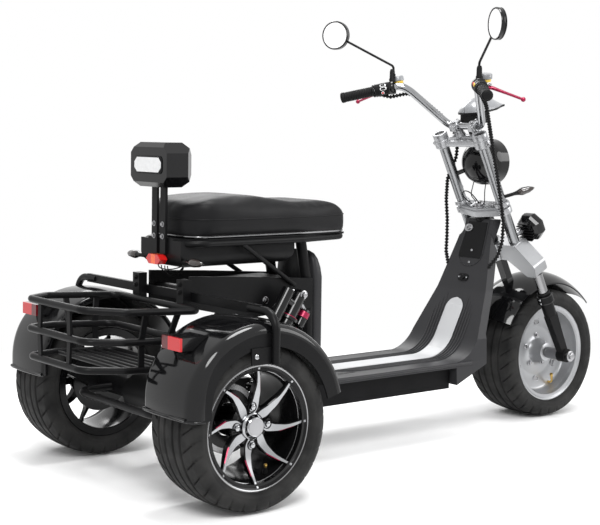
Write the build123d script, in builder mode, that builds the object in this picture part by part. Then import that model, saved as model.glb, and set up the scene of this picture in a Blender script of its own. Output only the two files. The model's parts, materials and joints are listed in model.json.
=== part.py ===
"""Motorized trike: every piece of the vehicle as its own solid, in millimetres."""
import os
from math import cos, radians, sin

from build123d import *

# Frame: +X forward, +Y left, +Z up, origin on the ground below the middle of the box
wheelbase = 1600
rear_track = 768
rear_overhang = 356

# Fits
running_gap = 0.3
seat_gap = 0.1

# Tyres
tyre_radius = 228
tyre_width = 210
tyre_bulge_drop = 31
tyre_shoulder_drop = 9
tyre_shoulder_inset = 18
bead_gap = 0.5
tyre_lip_height = 3

# Rims, shared by all three wheels
flange_radius = 169
flange_thickness = 6
rim_half_width = 90
barrel_radius = 150
barrel_wall = 7

# Rear alloy wheel: face heights are measured outward from the tyre's middle plane
spoke_count = 8
spoke_hub_width = 34
spoke_rim_width = 14
spoke_thickness = 24
hub_face_height = 57
rim_face_height = 82
hub_pad_radius = 62
lug_circle_radius = 50.8
lug_recess_radius = 12
lug_recess_depth = 12
nut_sides = 6
lug_radius = 8
lug_length = 14
cap_radius = 33
cap_height = 9
hub_radius = 44
hub_inner_height = -60
disc_radius = 95
disc_thickness = 5
disc_height = -50
cap_taper = 20
rim_overlap = 1
hub_bore_wall = 1

# Rear axle
stub_diameter = 30
stub_end_height = 26
axle_tube_diameter = 56
axle_tube_gap = 6
motor_diameter = 120
motor_half_length = 105

# Rear calipers
caliper_gap = 6
caliper_inner_radius = 62
caliper_outer_radius = 122
caliper_inner_height = -80
caliper_outer_height = -22
caliper_half_width = 34
caliper_bracket_thickness = 12
caliper_angle = 150

# Front wheel
front_axle_diameter = 20
front_hub_radius = 42
front_hub_half_length = 75
front_disc_thickness = 8
front_dish_height = 22
front_dish_radius = 90

# Steering geometry: the fork line goes up and back from the front axle
rake = 26.6
fork_offset = 16
steer_limit = 35
steer_gap = 6
leg_half_spacing = 150
tube_half_spacing = 92
fork_tube_diameter = 36
fork_tube_top = 862
stanchion_diameter = 33
leg_diameter = 44
leg_top = 245
leg_sleeve_length = 78
leg_clamp_diameter = 56
leg_clamp_length = 26
leg_arm_thickness = 26
leg_arm_high_width = 42
leg_arm_low_width = 27
axle_clamp_diameter = 48
axle_clamp_width = 32
crown_tip_low = 330
crown_tip_high = 372
crown_middle_low = 390
crown_middle_high = 450
crown_back = -27
crown_front = 33
crown_tip_margin = 22
crown_flat = 60
crown_round = 16
stem_diameter = 30
stem_boss_radius = 33
upper_plate_low = 566
upper_plate_thickness = 30
top_clamp_low = 815
top_clamp_thickness = 30
clamp_wall = 9
web_half_width = 12
riser_wall = 5
riser_round = 20
head_tube_diameter = 52
head_play = 6

# Handlebar, from the middle of its clamp
bar_diameter = 26
bar_forward = 41
bar_along = 875
riser_half_spacing = 42
riser_width = 30
bar_straight = 75
bar_bend_inner = 25
bar_bend_outer = 55
bar_peak_back = 131
bar_peak_side = 172
bar_peak_rise = 139
bar_end_back = 265
bar_end_side = 341
bar_end_rise = 93
grip_diameter = 34
grip_length = 118
housing_length = 50
housing_diameter = 44
housing_grip_gap = 3
lever_diameter = 10
lever_reach = 52
lever_bend = 18
lever_tip_back = 150
lever_tip_side = 385
lever_tip_rise = 83
ring_length = 20
ring_diameter = 40

# Mirrors
mirror_diameter = 100
mirror_depth = 14
mirror_glass_diameter = 90
mirror_glass_thickness = 2
mirror_back = 271
mirror_side = 375
mirror_rise = 313
mirror_turn = 22
mirror_stalk_diameter = 8
mirror_stalk_rise = 52
mirror_boot_diameter = 15
mirror_stalk_bend = 14

# Headlight and instrument pod
headlight_radius = 80
headlight_x = 1343
headlight_z = 905
headlight_barrel = 24
headlight_lens_thickness = 12
headlight_bezel = 9
headlight_arm_diameter = 16
headlight_arm_drop = 53
pod_half_width = 58
pod_corner = 44
pod_back_x = 1236
pod_back_z = 1078
pod_crown_x = 1310
pod_crown_z = 1116
pod_front_x = 1408
pod_front_z = 1112
pod_lip = 8
pod_belly_x = 1330
pod_belly_z = 1066
pod_post_thickness = 8
pod_post_half_width = 18
pod_post_length = 102

# Spot lights
spot_forward = 74
spot_side = 112
spot_along = 470
spot_corner = 28
spot_size = 96
spot_depth = 50
spot_arm = 18

# Front indicators, turned forward and outward
indicator_along = 622
indicator_turn = 45
indicator_stalk = 30
indicator_stalk_diameter = 12
indicator_length = 72
indicator_height = 26
indicator_depth = 32
indicator_taper = 5
indicator_round = 0.33

# Front fender, turned about the front axle
front_fender_radius = 284
front_fender_shell = 5
front_fender_half_width = 98
front_fender_drop = 34
front_fender_start = 42
front_fender_end = 152
front_fender_stay = 14

# Steered cables
loom_diameter = 12
loom_bend = 40
loom_seat = 0.45
right_loom_points = [(1112, -205, 1085), (1215, -150, 949), (1288, -130, 816), (1318, -130, 690)]
left_loom_points = [
    (1108, 204, 1100), (1200, 140, 1092), (1283, 80, 1040), (1302, 66, 985),
    (1254, 58, 900), (1250, 130, 800), (1318, 130, 690),
]

# Floor, battery case and leg shield
floor_height = 252
floor_thickness = 17
floor_back_x = 520
box_bottom = 165
box_back_x = 440
box_front_x = 1060
box_half_width = 130
box_edge = 10
shield_depth = 36
shield_bend = 130
shield_low_front_x = 1205
shield_low_front_z = 335
shield_shin_x = 1202
shield_shin_z = 236
shield_toe_z = 178
shield_toe_gap = 4
shield_heel_gap = 1
shield_foot_x = 1125
shield_mid_x = 1238
shield_mid_z = 470
shield_neck_x = 1292
shield_neck_z = 620
shield_top_x = 1324
shield_top_z = 708
shield_foot_half = 156
shield_low_z = 320
shield_low_half = 152
shield_mid_half = 112
shield_neck_half = 80
shield_top_half = 64
strip_half_width = 34
strip_thickness = 3
strip_back_x = 560
strip_top_z = 446

# Frame tubes
down_tube_diameter = 40
down_tube_foot_reach = 120
down_tube_bend = 70
down_tube_rise = 10
pillar_half_spacing = 84
pillar_tube_diameter = 33
pillar_x = 482
pillar_bend_z = 520
pillar_lean = 40
pillar_bend = 120
plate_inner = 100
plate_thickness = 8
plate_back_low = 500
plate_back_high = 590
plate_mid_x = 230
plate_mid_low = 455
plate_mid_high = 578
plate_front_low = 470
plate_front_high = 560
cross_tube_diameter = 30
cross_tubes = [(200, 500), (60, 540)]
controller_back_x = 240
controller_front_x = 440
controller_low = 462
controller_high = 560

# Pillar cover
cover_half_width = 96
cover_thickness = 36
cover_top = 640
cover_corner = 12
pad_half_width = 62
pad_thickness = 20
pad_low = 285
pad_high = 566
pad_taper = 10
pad_corner = 26

# Seat
pan_height = 690
pan_thickness = 6
rail_diameter = 20
rail_back_x = 10
rail_back_bend = 68
rail_front_x = 618
rail_half_width = 132
rail_front_half = 92
rail_taper_x = 420
rail_bend = 45
rail_sink = 3
stay_diameter = 14
stay_top_x = 187
stay_low_x = 405
stay_low_z = 545
tray_front_x = 412
tray_depth = 78
tray_half_width = 104
tray_round = 0.5
seat_back_x = 22
seat_front_x = 642
seat_half_width = 148
seat_front_half = 110
seat_taper_x = 400
seat_nose = 84
seat_rear_rise = 98
seat_shoulder_x = 90
seat_peak_x = 240
seat_peak_rise = 120
seat_step_x = 390
seat_step_rise = 98
seat_brow_x = 560
seat_front_rise = 62
seat_bevel = 26

# Backrest
post_width = 27
post_thickness = 8
post_half_spacing = 22
post_x = -10
post_foot = 40
back_rise = 152
back_height = 128
back_x = -46
back_depth = 108
back_half_width = 94
back_bevel = 36
back_rear_bevel = 14
back_side_bevel = 34
back_corner_bevel = 30
reflector_half_width = 68
reflector_height = 42
reflector_bevel = 13
reflector_thickness = 4

# Tail lamps
tail_rise = 22
tail_half_width = 36
tail_point = 13
tail_height = 28
tail_depth = 26
rear_indicator_x = 10
rear_indicator_half_span = 196
rear_indicator_length = 74

# Rear fenders, turned about a line a little ahead of the axle
fender_ahead = 5
fender_above = 4
fender_radius = 280
fender_tail_radius = 195
fender_shell = 5
fender_inner_gap = 4
fender_outer_gap = 12
fender_round = 28
fender_skirt_depth = 66
fender_start = 15
fender_turn = 125
fender_end = 180
fender_drop = 30
fender_reflector_x = -222
fender_reflector_width = 84
fender_reflector_height = 34
fender_reflector_z = 459

# Hoop over the fenders
hoop_x = 22
hoop_height = 535
hoop_bar_height = 26
hoop_bar_thickness = 12
hoop_bar_inset = 55
hoop_tube_diameter = 22
hoop_foot = 402
hoop_bend = 50
hoop_foot_plate = 4
hoop_foot_length = 84
hoop_foot_height = 44

# Basket rings: front x, side corner x, half-width, rear half-width, height, from the rear axle
basket_tube_diameter = 20
basket_post_width = 17
basket_post_thickness = 7
basket_slat_diameter = 12
basket_slat_count = 6
basket_tilt = 2.9
basket_bend = 36
basket_posts = [(0, 0.3), (0, 0.73), (2, 0.22), (2, 0.76), (4, 0.27), (4, 0.7)]
basket_rings = [
    {"front": -12, "corner": -256, "half": 218, "rear_half": 146, "height": 508},
    {"front": -43, "corner": -246, "half": 195, "rear_half": 156, "height": 426},
    {"front": -46, "corner": -236, "half": 186, "rear_half": 144, "height": 348},
]
basket_plate_side = 115
basket_plate_width = 34
basket_plate_high = 584

# Swing arm and shocks
arm_side = 125
arm_width = 30
arm_height = 44
arm_clamp_radius = 42
pivot_diameter = 40
pivot_z = 205
shock_side = 158
shock_low_x = 225
shock_low_z = 262
shock_high_x = 392
shock_high_z = 522
shock_eye_diameter = 30
shock_eye_width = 28
shock_pin_diameter = 14
shock_rod_diameter = 16
shock_body_diameter = 40
shock_body_length = 120
shock_collar_diameter = 58
shock_collar_thickness = 9
spring_diameter = 54
spring_wire = 9
spring_start = 48
spring_end = 222
reservoir_diameter = 38
reservoir_length = 105
reservoir_offset = 46

# Rear bumper below the basket
bumper_diameter = 22
bumper_x = -150
bumper_half = 225
bumper_bend = 60

fender_inner_side = rear_track / 2 - tyre_width / 2 - fender_inner_gap
fender_outer_side = rear_track / 2 + tyre_width / 2 + fender_outer_gap
tray_low = pan_height - tray_depth
tray_back_x = post_x + post_thickness
tail_z = tray_low + tail_rise
seat_base = pan_height + pan_thickness
back_low = pan_height + back_rise
back_high = back_low + back_height
rear_axle_x = (rear_overhang - wheelbase - tyre_radius) / 2
front_axle_x = rear_axle_x + wheelbase
axle_height = tyre_radius
fork_back = sin(radians(rake))
fork_rise = cos(radians(rake))


def from_rear(x):
    """Place along the frame of a distance ahead of the rear axle."""
    return rear_axle_x + x


def on_fork(forward, side, along):
    """Point given ahead of the fork line, to the left of it and up along it from the front axle."""
    return Vector(
        front_axle_x + forward * fork_rise - along * fork_back,
        side,
        axle_height + forward * fork_back + along * fork_rise,
    )


def fork_plane(forward, side, along):
    """Plane across the fork line, its x forward, its y to the left."""
    return Plane(
        origin=on_fork(forward, side, along),
        x_dir=(fork_rise, 0, fork_back),
        z_dir=(-fork_back, 0, fork_rise),
    )


def lying(z):
    """Level plane at a height."""
    return Plane((0, 0, z))


def upright(y):
    """Plane seen from the right, its x forward and its y up, at a place across the frame."""
    return Plane((0, y, 0), x_dir=(1, 0, 0), z_dir=(0, -1, 0))


def facing_back(x):
    """Plane seen from behind, its x to the right and its y up, at a place along the frame."""
    return Plane((x, 0, 0), x_dir=(0, -1, 0), z_dir=(-1, 0, 0))


def across(start, end):
    """Plane at a start point, square to the way to an end point."""
    return Plane(origin=start, z_dir=Vector(end) - Vector(start))


def add_tube(points, bends, diameter, closed=False, mode=Mode.ADD):
    """Add a round tube along points, with its bend radii, to the open part, or cut its way out."""
    with BuildLine() as route:
        if len(points) == 2:
            Line(*points)
        else:
            FilletPolyline(*points, radius=bends, close=closed)
    with BuildSketch(Plane(origin=route.line @ 0, z_dir=route.line % 0)) as section:
        Circle(diameter / 2)
    sweep(section.sketch, path=route.line, mode=mode)


def add_rod(start, end, diameter):
    """Add a straight round rod between two points to the open part."""
    with BuildSketch(across(start, end)) as section:
        Circle(diameter / 2)
    extrude(section.sketch, amount=(Vector(end) - Vector(start)).length)


def add_block(x_range, y_range, z_range):
    """Add a plain block between two ends along each axis to the open part."""
    with BuildSketch(lying(z_range[0])) as base:
        with Locations(((x_range[0] + x_range[1]) / 2, (y_range[0] + y_range[1]) / 2)):
            Rectangle(x_range[1] - x_range[0], y_range[1] - y_range[0])
    extrude(base.sketch, amount=z_range[1] - z_range[0])


def add_flat_bar(start, end, along, width, thickness):
    """Add a flat bar between two points, its width along a direction, to the open part."""
    with BuildSketch(Plane(origin=start, x_dir=along, z_dir=Vector(end) - Vector(start))) as section:
        Rectangle(width, thickness)
    extrude(section.sketch, amount=(Vector(end) - Vector(start)).length)


def write(piece, node):
    """Label a finished piece and write its file."""
    piece.part.label = node
    export_step(piece.part, f"parts/{node}.step")


os.makedirs("parts", exist_ok=True)


# Wheels


def wheel_plane(centre, side):
    """Plane for wheel profiles: x is the radius, y the distance outward from the middle plane."""
    return Plane(origin=centre, x_dir=(1, 0, 0), z_dir=(0, 0, side))


def wheel_face(centre, side, height):
    """Plane square to the wheel's axle at a height outward from the middle plane."""
    return Plane(
        origin=Vector(centre) + Vector(0, side * height, 0),
        x_dir=(1, 0, 0),
        z_dir=(0, side, 0),
    )


def add_tyre(centre, side):
    """Add a tyre with a round crown and full sidewalls to the open part."""
    bead_half = rim_half_width - flange_thickness - bead_gap
    bead_radius = barrel_radius + seat_gap
    lip_radius = flange_radius + tyre_lip_height
    bulge = (tyre_radius - tyre_bulge_drop, tyre_width / 2)
    shoulder = (tyre_radius - tyre_shoulder_drop, tyre_width / 2 - tyre_shoulder_inset)
    with BuildSketch(wheel_plane(centre, side)) as profile:
        with BuildLine():
            Line((bead_radius, -bead_half), (bead_radius, bead_half))
            Line((bead_radius, bead_half), (lip_radius, bead_half))
            ThreePointArc((lip_radius, bead_half), bulge, shoulder)
            ThreePointArc(shoulder, (tyre_radius, 0), (shoulder[0], -shoulder[1]))
            ThreePointArc((shoulder[0], -shoulder[1]), (bulge[0], -bulge[1]), (lip_radius, -bead_half))
            Line((lip_radius, -bead_half), (bead_radius, -bead_half))
        make_face()
    revolve(profile.sketch, axis=Axis(centre, (0, side, 0)))


def add_barrel(centre, side):
    """Add a rim barrel with a flange at each edge to the open part."""
    inner = barrel_radius - barrel_wall
    edge = rim_half_width - flange_thickness
    with BuildSketch(wheel_plane(centre, side)) as profile:
        with BuildLine():
            Polyline(
                (inner, -rim_half_width),
                (flange_radius, -rim_half_width),
                (flange_radius, -edge),
                (barrel_radius, -edge),
                (barrel_radius, edge),
                (flange_radius, edge),
                (flange_radius, rim_half_width),
                (inner, rim_half_width),
                close=True,
            )
        make_face()
    revolve(profile.sketch, axis=Axis(centre, (0, side, 0)))


for side, hand in ((1, "left"), (-1, "right")):
    centre = (rear_axle_x, side * rear_track / 2, axle_height)
    axle = Axis(centre, (0, side, 0))
    barrel_inner = barrel_radius - barrel_wall

    with BuildPart() as rear_tyre:
        add_tyre(centre, side)
    write(rear_tyre, f"rear_tyre_{hand}")

    with BuildPart() as rear_alloy:
        with BuildSketch(wheel_plane(centre, side)):
            with BuildLine():
                Polyline(
                    (0, hub_face_height),
                    (hub_pad_radius, hub_face_height),
                    (barrel_inner + rim_overlap, rim_face_height),
                    (barrel_inner + rim_overlap, rim_face_height - spoke_thickness),
                    (hub_pad_radius, hub_face_height - spoke_thickness),
                    (0, hub_face_height - spoke_thickness),
                    close=True,
                )
            make_face()
        revolve(axis=axle)
        with BuildSketch(wheel_face(centre, side, 0)):
            Circle(hub_pad_radius)
            with PolarLocations(0, spoke_count):
                Polygon(
                    (0, -spoke_hub_width / 2),
                    (hub_pad_radius, -spoke_hub_width / 2),
                    (barrel_radius, -spoke_rim_width / 2),
                    (barrel_radius, spoke_rim_width / 2),
                    (hub_pad_radius, spoke_hub_width / 2),
                    (0, spoke_hub_width / 2),
                    align=None,
                )
        extrude(amount=rim_half_width, mode=Mode.INTERSECT)
        with BuildSketch(wheel_face(centre, side, hub_face_height)):
            with PolarLocations(lug_circle_radius, spoke_count // 2):
                Circle(lug_recess_radius)
        extrude(amount=-lug_recess_depth, mode=Mode.SUBTRACT)
        add_barrel(centre, side)
    write(rear_alloy, f"rear_alloy_{hand}")

    with BuildPart() as rear_hub:
        hub_back = hub_face_height - spoke_thickness
        with BuildSketch(wheel_face(centre, side, hub_inner_height)):
            Circle(hub_radius)
        extrude(amount=hub_back - hub_inner_height)
        with BuildSketch(wheel_face(centre, side, disc_height - disc_thickness / 2)):
            Circle(disc_radius)
        extrude(amount=disc_thickness)
        with BuildSketch(wheel_face(centre, side, hub_inner_height)):
            Circle(stub_diameter / 2 + running_gap)
        extrude(amount=hub_back - hub_inner_height - hub_bore_wall, mode=Mode.SUBTRACT)
        with BuildSketch(wheel_face(centre, side, hub_face_height)):
            Circle(cap_radius)
        extrude(amount=cap_height, taper=cap_taper)
        with BuildSketch(wheel_face(centre, side, hub_face_height - lug_recess_depth)):
            with PolarLocations(lug_circle_radius, spoke_count // 2):
                RegularPolygon(lug_radius, nut_sides)
        extrude(amount=lug_length)
    write(rear_hub, f"rear_hub_{hand}")

front_centre = (front_axle_x, 0, axle_height)
with BuildPart() as front_tyre:
    add_tyre(front_centre, 1)
write(front_tyre, "front_tyre")

dish_edge = barrel_radius - barrel_wall + rim_overlap
with BuildPart() as front_rim:
    with BuildSketch(wheel_plane(front_centre, 1)):
        with BuildLine():
            Polyline(
                (front_axle_diameter / 2 + running_gap, -front_hub_half_length),
                (front_hub_radius, -front_hub_half_length),
                (front_hub_radius, -front_dish_height),
                (front_dish_radius, -front_dish_height),
                (dish_edge, -front_dish_height - front_disc_thickness),
                (dish_edge, front_dish_height + front_disc_thickness),
                (front_dish_radius, front_dish_height),
                (front_hub_radius, front_dish_height),
                (front_hub_radius, front_hub_half_length),
                (front_axle_diameter / 2 + running_gap, front_hub_half_length),
                close=True,
            )
        make_face()
    revolve(axis=Axis(front_centre, (0, 1, 0)))
    add_barrel(front_centre, 1)
write(front_rim, "front_rim")

# Rear axle, swing arm, calipers and shocks

tube_half = rear_track / 2 + hub_inner_height - axle_tube_gap
with BuildPart() as rear_axle:
    middle = (rear_axle_x, 0, axle_height)
    for diameter, half_length in (
        (motor_diameter, motor_half_length),
        (axle_tube_diameter, tube_half),
        (stub_diameter, rear_track / 2 + stub_end_height),
    ):
        with BuildSketch(wheel_face(middle, 1, 0)):
            Circle(diameter / 2)
        extrude(amount=half_length, both=True)
write(rear_axle, "rear_axle")

pivot_x = from_rear(box_back_x) - pivot_diameter / 2
with BuildPart() as swing_arm:
    with BuildSketch(upright(arm_side + arm_width / 2)):
        with BuildLine():
            Polyline(
                (rear_axle_x, axle_height - arm_height / 2),
                (pivot_x, pivot_z - arm_height / 2),
                (pivot_x, pivot_z + arm_height / 2),
                (rear_axle_x, axle_height + arm_height / 2),
                close=True,
            )
        make_face()
        with Locations((rear_axle_x, axle_height)):
            Circle(arm_clamp_radius)
    extrude(amount=arm_width)
    with BuildSketch(upright(arm_side + arm_width / 2)):
        with Locations((rear_axle_x, axle_height)):
            Circle(axle_tube_diameter / 2 + seat_gap)
    extrude(amount=arm_width, mode=Mode.SUBTRACT)
    mirror(about=Plane.XZ)
    with BuildSketch(upright(0)):
        with Locations((pivot_x, pivot_z)):
            Circle(pivot_diameter / 2)
    extrude(amount=arm_side, both=True)
write(swing_arm, "swing_arm")

with BuildPart() as rear_calipers:
    for side in (1, -1):
        centre = (rear_axle_x, side * rear_track / 2, axle_height)
        turned = Plane(
            origin=wheel_face(centre, side, caliper_inner_height).origin,
            x_dir=(cos(radians(caliper_angle)), 0, sin(radians(caliper_angle))),
            z_dir=(0, side, 0),
        )
        with BuildSketch(turned):
            with Locations(((caliper_inner_radius + caliper_outer_radius) / 2, 0)):
                Rectangle(caliper_outer_radius - caliper_inner_radius, 2 * caliper_half_width)
        extrude(amount=caliper_outer_height - caliper_inner_height)
        with BuildSketch(turned):
            with Locations((caliper_outer_radius / 2, 0)):
                Rectangle(caliper_outer_radius, 2 * caliper_half_width)
            Circle(caliper_half_width)
        extrude(amount=caliper_bracket_thickness)
        with BuildSketch(turned):
            Circle(axle_tube_diameter / 2 + seat_gap)
        extrude(amount=caliper_bracket_thickness, mode=Mode.SUBTRACT)
        slot = disc_thickness + 2 * caliper_gap
        with BuildSketch(wheel_face(centre, side, disc_height - slot / 2)):
            Circle(disc_radius + caliper_gap)
        extrude(amount=slot, mode=Mode.SUBTRACT)
write(rear_calipers, "rear_calipers")

shock_low = Vector(from_rear(shock_low_x), shock_side, shock_low_z)
shock_high = Vector(from_rear(shock_high_x), shock_side, shock_high_z)
shock_way = (shock_high - shock_low).normalized()
shock_aside = Vector(-shock_way.Z, 0, shock_way.X)
shock_pin_start = plate_inner + plate_thickness
with BuildPart() as shock_bodies:
    add_rod(shock_low, shock_high, shock_rod_diameter)
    add_rod(shock_high - shock_way * shock_body_length, shock_high, shock_body_diameter)
    for distance in (spring_start - shock_collar_thickness, spring_end):
        collar = shock_low + shock_way * distance
        add_rod(collar, collar + shock_way * shock_collar_thickness, shock_collar_diameter)
    for eye in (shock_low, shock_high):
        half = Vector(0, shock_eye_width / 2, 0)
        add_rod(eye - half, eye + half, shock_eye_diameter)
    add_rod((shock_high.X, shock_pin_start, shock_high.Z), shock_high, shock_pin_diameter)
    low_pin = Vector(shock_low.X, arm_side, shock_low.Z)
    add_rod(low_pin, shock_low, shock_pin_diameter)
    reservoir_top = shock_high - shock_way * spring_wire + shock_aside * reservoir_offset
    add_rod(reservoir_top, reservoir_top - shock_way * reservoir_length, reservoir_diameter)
    bridge = shock_high - shock_way * reservoir_diameter
    add_rod(bridge, bridge + shock_aside * reservoir_offset, shock_eye_width)
    mirror(about=Plane.XZ)
write(shock_bodies, "shock_bodies")

with BuildPart() as shock_springs:
    start = shock_low + shock_way * spring_start
    with BuildSketch(Plane(origin=start, z_dir=shock_way)):
        Circle(spring_diameter / 2)
        Circle(spring_diameter / 2 - spring_wire / 2, mode=Mode.SUBTRACT)
    extrude(amount=spring_end - spring_start)
    mirror(about=Plane.XZ)
write(shock_springs, "shock_springs")

# Battery case, floor, leg shield and its trim

with BuildPart() as battery_box:
    with BuildSketch(lying(box_bottom)):
        with Locations((from_rear((box_back_x + box_front_x) / 2), 0)):
            RectangleRounded(box_front_x - box_back_x, 2 * box_half_width, box_edge)
    extrude(amount=floor_height - floor_thickness - box_bottom)
write(battery_box, "battery_box")


down_tube_low = box_bottom + down_tube_diameter
down_tube_route = [
    on_fork(-fork_offset, 0, (crown_middle_high + upper_plate_low) / 2 + down_tube_rise),
    Vector(from_rear(box_front_x + down_tube_foot_reach), 0, down_tube_low),
    Vector(from_rear(box_front_x), 0, down_tube_low),
]
shield_points = [
    (from_rear(floor_back_x), floor_height),
    (from_rear(shield_foot_x), floor_height),
    (from_rear(shield_mid_x), shield_mid_z),
    (from_rear(shield_neck_x), shield_neck_z),
    (from_rear(shield_top_x), shield_top_z),
]
shield_front_points = [
    (from_rear(shield_top_x) + shield_depth, shield_top_z),
    (from_rear(shield_neck_x) + shield_depth, shield_neck_z),
    (from_rear(shield_mid_x) + shield_depth, shield_mid_z),
    (from_rear(shield_low_front_x), shield_low_front_z),
    (from_rear(shield_shin_x), shield_shin_z),
    (from_rear(box_front_x + shield_toe_gap), shield_toe_z),
    (from_rear(box_front_x + shield_heel_gap), floor_height - floor_thickness),
    (from_rear(floor_back_x), floor_height - floor_thickness),
]


def draw_shield_side():
    """Draw the floor and shield seen from the right in the open line."""
    FilletPolyline(*shield_points, radius=[shield_bend, shield_bend, shield_bend / 2])
    Line(shield_points[-1], shield_front_points[0])
    Polyline(*shield_front_points)
    Line(shield_front_points[-1], shield_points[0])


with BuildPart() as leg_shield:
    with BuildSketch(upright(shield_foot_half)):
        with BuildLine():
            draw_shield_side()
        make_face()
    extrude(amount=2 * shield_foot_half)
    with BuildSketch(facing_back(from_rear(shield_top_x) + wheelbase)):
        with BuildLine():
            edge = [
                (shield_foot_half, 0),
                (shield_foot_half, floor_height),
                (shield_low_half, shield_low_z),
                (shield_mid_half, shield_mid_z),
                (shield_neck_half, shield_neck_z),
                (shield_top_half, shield_top_z),
            ]
            Polyline(*edge, *[(-y, z) for y, z in reversed(edge)], close=True)
        make_face()
    extrude(amount=2 * wheelbase, mode=Mode.INTERSECT)
    # Ways through the neck for the head tube and the down tube
    with BuildSketch(fork_plane(-fork_offset, 0, crown_middle_low)):
        Circle(head_tube_diameter / 2 + seat_gap)
    extrude(amount=fork_tube_top - crown_middle_low, mode=Mode.SUBTRACT)
    add_tube(down_tube_route, down_tube_bend, down_tube_diameter + 2 * seat_gap, mode=Mode.SUBTRACT)
    # Room at the neck's front corners for the fork tubes on full lock
    lock = radians(steer_limit)
    tube_on_lock = (
        fork_offset * cos(lock) - tube_half_spacing * sin(lock),
        fork_offset * sin(lock) + tube_half_spacing * cos(lock),
    )
    for side in (1, -1):
        with BuildSketch(fork_plane(-fork_offset, 0, crown_middle_high)):
            tube_ends = [(fork_offset, side * tube_half_spacing), (tube_on_lock[0], side * tube_on_lock[1])]
            with Locations(*tube_ends):
                Circle(fork_tube_diameter / 2 + steer_gap)
            make_hull()
        extrude(amount=fork_tube_top - crown_middle_high, mode=Mode.SUBTRACT)
write(leg_shield, "leg_shield")

with BuildPart() as grip_strip:
    with BuildSketch(upright(strip_half_width)):
        with BuildLine():
            draw_shield_side()
        make_face()
        offset(amount=strip_thickness)
        with BuildLine():
            draw_shield_side()
        make_face(mode=Mode.SUBTRACT)
        with BuildLine():
            Polyline(
                (from_rear(strip_back_x), floor_height),
                (from_rear(strip_back_x), strip_top_z),
                (from_rear(shield_mid_x) + strip_thickness, strip_top_z),
                (from_rear(shield_foot_x) + strip_thickness, floor_height),
                close=True,
            )
        make_face(mode=Mode.INTERSECT)
    extrude(amount=2 * strip_half_width)
    with BuildSketch(facing_back(from_rear(shield_mid_x) + shield_depth)):
        with Locations((0, strip_top_z / 2)):
            Rectangle(2 * strip_half_width, strip_top_z)
        fillet(vertices().group_by(Axis.Z)[-1], radius=strip_half_width - strip_thickness)
    extrude(amount=wheelbase, mode=Mode.INTERSECT)
write(grip_strip, "grip_strip")

# Frame

with BuildPart() as frame:
    with BuildSketch(fork_plane(-fork_offset, 0, crown_middle_high + head_play)):
        Circle(head_tube_diameter / 2)
    head_length = upper_plate_low - crown_middle_high - 2 * head_play
    extrude(amount=head_length)
    add_tube(down_tube_route, down_tube_bend, down_tube_diameter)
    with BuildSketch(fork_plane(-fork_offset, 0, crown_middle_high + head_play)):
        Circle(stem_diameter / 2 + running_gap)
    extrude(amount=head_length, mode=Mode.SUBTRACT)
write(frame, "frame")

box_top = floor_height - floor_thickness
plate_back_x = hoop_x + hoop_bar_thickness / 2
with BuildPart() as rear_frame:
    add_tube(
        [
            (from_rear(pillar_x), pillar_half_spacing, box_top),
            (from_rear(pillar_x), pillar_half_spacing, pillar_bend_z),
            (from_rear(pillar_x - pillar_lean), pillar_half_spacing, pan_height + pillar_tube_diameter),
        ],
        pillar_bend,
        pillar_tube_diameter,
    )
    split(bisect_by=lying(pan_height), keep=Keep.BOTTOM)
    with BuildSketch(upright(plate_inner + plate_thickness)):
        with BuildLine():
            Polyline(
                (from_rear(plate_back_x), plate_back_low),
                (from_rear(plate_mid_x), plate_mid_low),
                (from_rear(pillar_x), plate_front_low),
                (from_rear(pillar_x), plate_front_high),
                (from_rear(plate_mid_x), plate_mid_high),
                (from_rear(plate_back_x), plate_back_high),
                close=True,
            )
        make_face()
    extrude(amount=plate_thickness)
    mirror(about=Plane.XZ)
    for x, z in cross_tubes:
        with BuildSketch(upright(0)):
            with Locations((from_rear(x), z)):
                Circle(cross_tube_diameter / 2)
        extrude(amount=plate_inner, both=True)
write(rear_frame, "rear_frame")

with BuildPart() as controller_box:
    add_block(
        (from_rear(controller_back_x), from_rear(controller_front_x)),
        (-plate_inner, plate_inner),
        (controller_low, controller_high),
    )
write(controller_box, "controller_box")

cover_x = from_rear(pillar_x) + pillar_tube_diameter / 2
with BuildPart() as pillar_cover:
    with BuildSketch(lying(floor_height)):
        with Locations((cover_x + cover_thickness / 2, 0)):
            RectangleRounded(cover_thickness, 2 * cover_half_width, cover_corner)
    extrude(amount=cover_top - floor_height)
    with BuildSketch(facing_back(cover_x + cover_thickness)):
        with Locations((0, (pad_low + pad_high) / 2)):
            RectangleRounded(2 * pad_half_width, pad_high - pad_low, pad_corner)
    extrude(amount=-pad_thickness, taper=pad_taper)
write(pillar_cover, "pillar_cover")

# Seat and backrest

rail_z = pan_height - rail_diameter / 2 + rail_sink
rail_route = [
    (from_rear(rail_back_x), 0, rail_z),
    (from_rear(rail_back_x), rail_half_width, rail_z),
    (from_rear(rail_taper_x), rail_half_width, rail_z),
    (from_rear(rail_front_x), rail_front_half, rail_z),
    (from_rear(rail_front_x), 0, rail_z),
]
with BuildPart() as seat_pan:
    add_tube(rail_route, [rail_back_bend, rail_bend, rail_bend], rail_diameter)
    stay_side = plate_inner + plate_thickness + stay_diameter / 2
    add_rod(
        (from_rear(stay_top_x), rail_half_width, rail_z),
        (from_rear(stay_low_x), stay_side, stay_low_z),
        stay_diameter,
    )
    mirror(about=Plane.XZ)
    with BuildSketch(lying(pan_height)):
        with BuildLine():
            edge = [
                (from_rear(tray_back_x), rail_half_width - rail_back_bend),
                (from_rear(rail_back_x) + rail_back_bend, rail_half_width),
                (from_rear(rail_taper_x), rail_half_width),
                (from_rear(rail_front_x), rail_front_half),
            ]
            Polyline(*edge, *[(x, -y) for x, y in reversed(edge)], close=True)
        make_face()
    extrude(amount=pan_thickness)
write(seat_pan, "seat_pan")

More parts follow.
